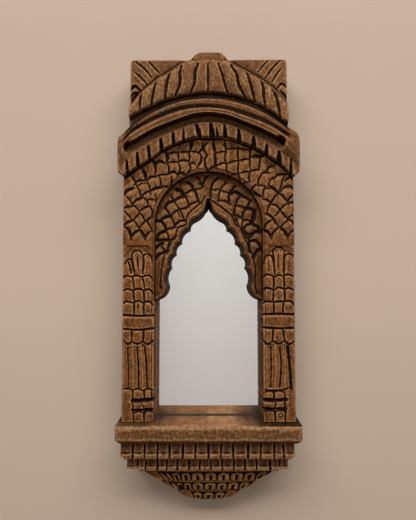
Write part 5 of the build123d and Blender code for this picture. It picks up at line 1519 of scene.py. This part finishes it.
paint_nodes(["back_brads", "base_screws", "corbel_screws", "hanger_plate", "hanger_ring", "hanger_screws"],
            steel_material("steel_hidden", 0.5))
paint_nodes(["eave_nails"], steel_material("steel_nails", 0.22))


# Wall, floor, lights and camera

# Heights and half widths of the wall's opening, hidden behind the mirror, that lets light reach its back
WALL_OPENING = (
    (-1500, 0), (-302, 0), (-298, 30), (-282, 55), (-266, 78), (-258, 101), (-246, 103), (-243, 108),
    (-222, 111), (-217, 117.5), (-190, 117.5), (-186, 113), (137, 113), (146, 118), (186, 118), (196, 112),
    (205, 104.5), (296, 104.5), (299.5, 102), (299.5, 0), (2000, 0),
)
# The wall: its half width, and how far it lies behind the mirror's back
WALL_HALF, WALL_GAP = 2400, 0.6
# The floor in metres: half width, depth in front of the wall, and height
FLOOR_HALF, FLOOR_DEEP, FLOOR_Z = 2.4, 1.6, -1.5
# Lamps: name, place, target and size in metres, and power in watts
LAMPS = (
    ("key", (0.05, -1.12, 1.75), (0, 0, -0.1), (3.6, 1.0), 78),
    ("back_fill", (0.9, 1.4, 1.1), (0, 0, 0), (2.6, 1.6), 34),
)
LAMP_COLOUR = (1.0, 0.985, 0.965)
# Width of the camera's sensor
SENSOR = 36


def wall_corners():
    """Corners of the wall's four-sided faces, in metres: two for each stretch of the opening's sides."""
    corners = []
    for (z0, half0), (z1, half1) in zip(WALL_OPENING, WALL_OPENING[1:]):
        for side in (-1, 1):
            face = [(side * half0, z0), (WALL_HALF * side, z0), (WALL_HALF * side, z1), (side * half1, z1)]
            corners += [(x / PER_METRE, WALL_GAP / PER_METRE, z / PER_METRE) for x, z in face[::side]]
    return corners


def sheet(name, corners, look):
    mesh = bpy.data.meshes.new(name)
    mesh.from_pydata(corners, [], np.arange(len(corners)).reshape(-1, 4).tolist())
    obj = link(name, mesh)
    paint(obj, look)


def area_light(name, place, target, size, power):
    data = bpy.data.lights.new(name, "AREA")
    data.shape = "RECTANGLE"
    data.size, data.size_y = size
    data.energy = power
    data.color = LAMP_COLOUR
    obj = link(name, data)
    obj.location = place
    obj.rotation_euler = (Vector(target) - Vector(place)).to_track_quat("-Z", "Y").to_euler()


def light_world():
    """A plain weak world, which the mirror shows as the soft gradient of the photograph."""
    world = bpy.data.worlds.new("world")
    bpy.context.scene.world = world
    w = Shader(world)
    way = w.add("SeparateXYZ", _0=w.coordinates["Generated"]).outputs
    tone = w.mix(w.fit(way["Z"], -0.36, 0.22), rgba((0.515, 0.462, 0.430)), rgba((0.795, 0.785, 0.77)))
    aside = w.math("SUBTRACT", way["X"], 0.015)
    dim = w.fit(w.math("MULTIPLY", aside, aside), 0.0, 0.0164, 1.0, 0.86)
    shown = w.add("Background", Color=tone, Strength=dim).outputs[0]
    plain = w.add("Background", Color=rgba((1.0, 0.97, 0.94)), Strength=0.17).outputs[0]
    glossy = w.add("LightPath").outputs["Is Glossy Ray"]
    w.finish(w.add("MixShader", _0=glossy, _1=plain, _2=shown).outputs[0], "OutputWorld")


def photo_camera():
    data = bpy.data.cameras.new("camera")
    data.sensor_width = SENSOR
    data.lens = SENSOR * FOCAL / PHOTO_HIGH
    camera = link("camera", data)
    camera.location = [c / PER_METRE for c in EYE]
    camera.rotation_euler = (math.pi / 2 + TILT, 0, 0)
    bpy.context.scene.camera = camera


sheet("wall", wall_corners(), wall_material())
floor_corners = [(-FLOOR_HALF, -FLOOR_DEEP), (FLOOR_HALF, -FLOOR_DEEP), (FLOOR_HALF, 0.0), (-FLOOR_HALF, 0.0)]
sheet("floor", [(x, y, FLOOR_Z) for x, y in floor_corners], floor_material())
for lamp in LAMPS:
    area_light(*lamp)
light_world()
photo_camera()
bpy.context.scene.view_settings.view_transform = "Standard"
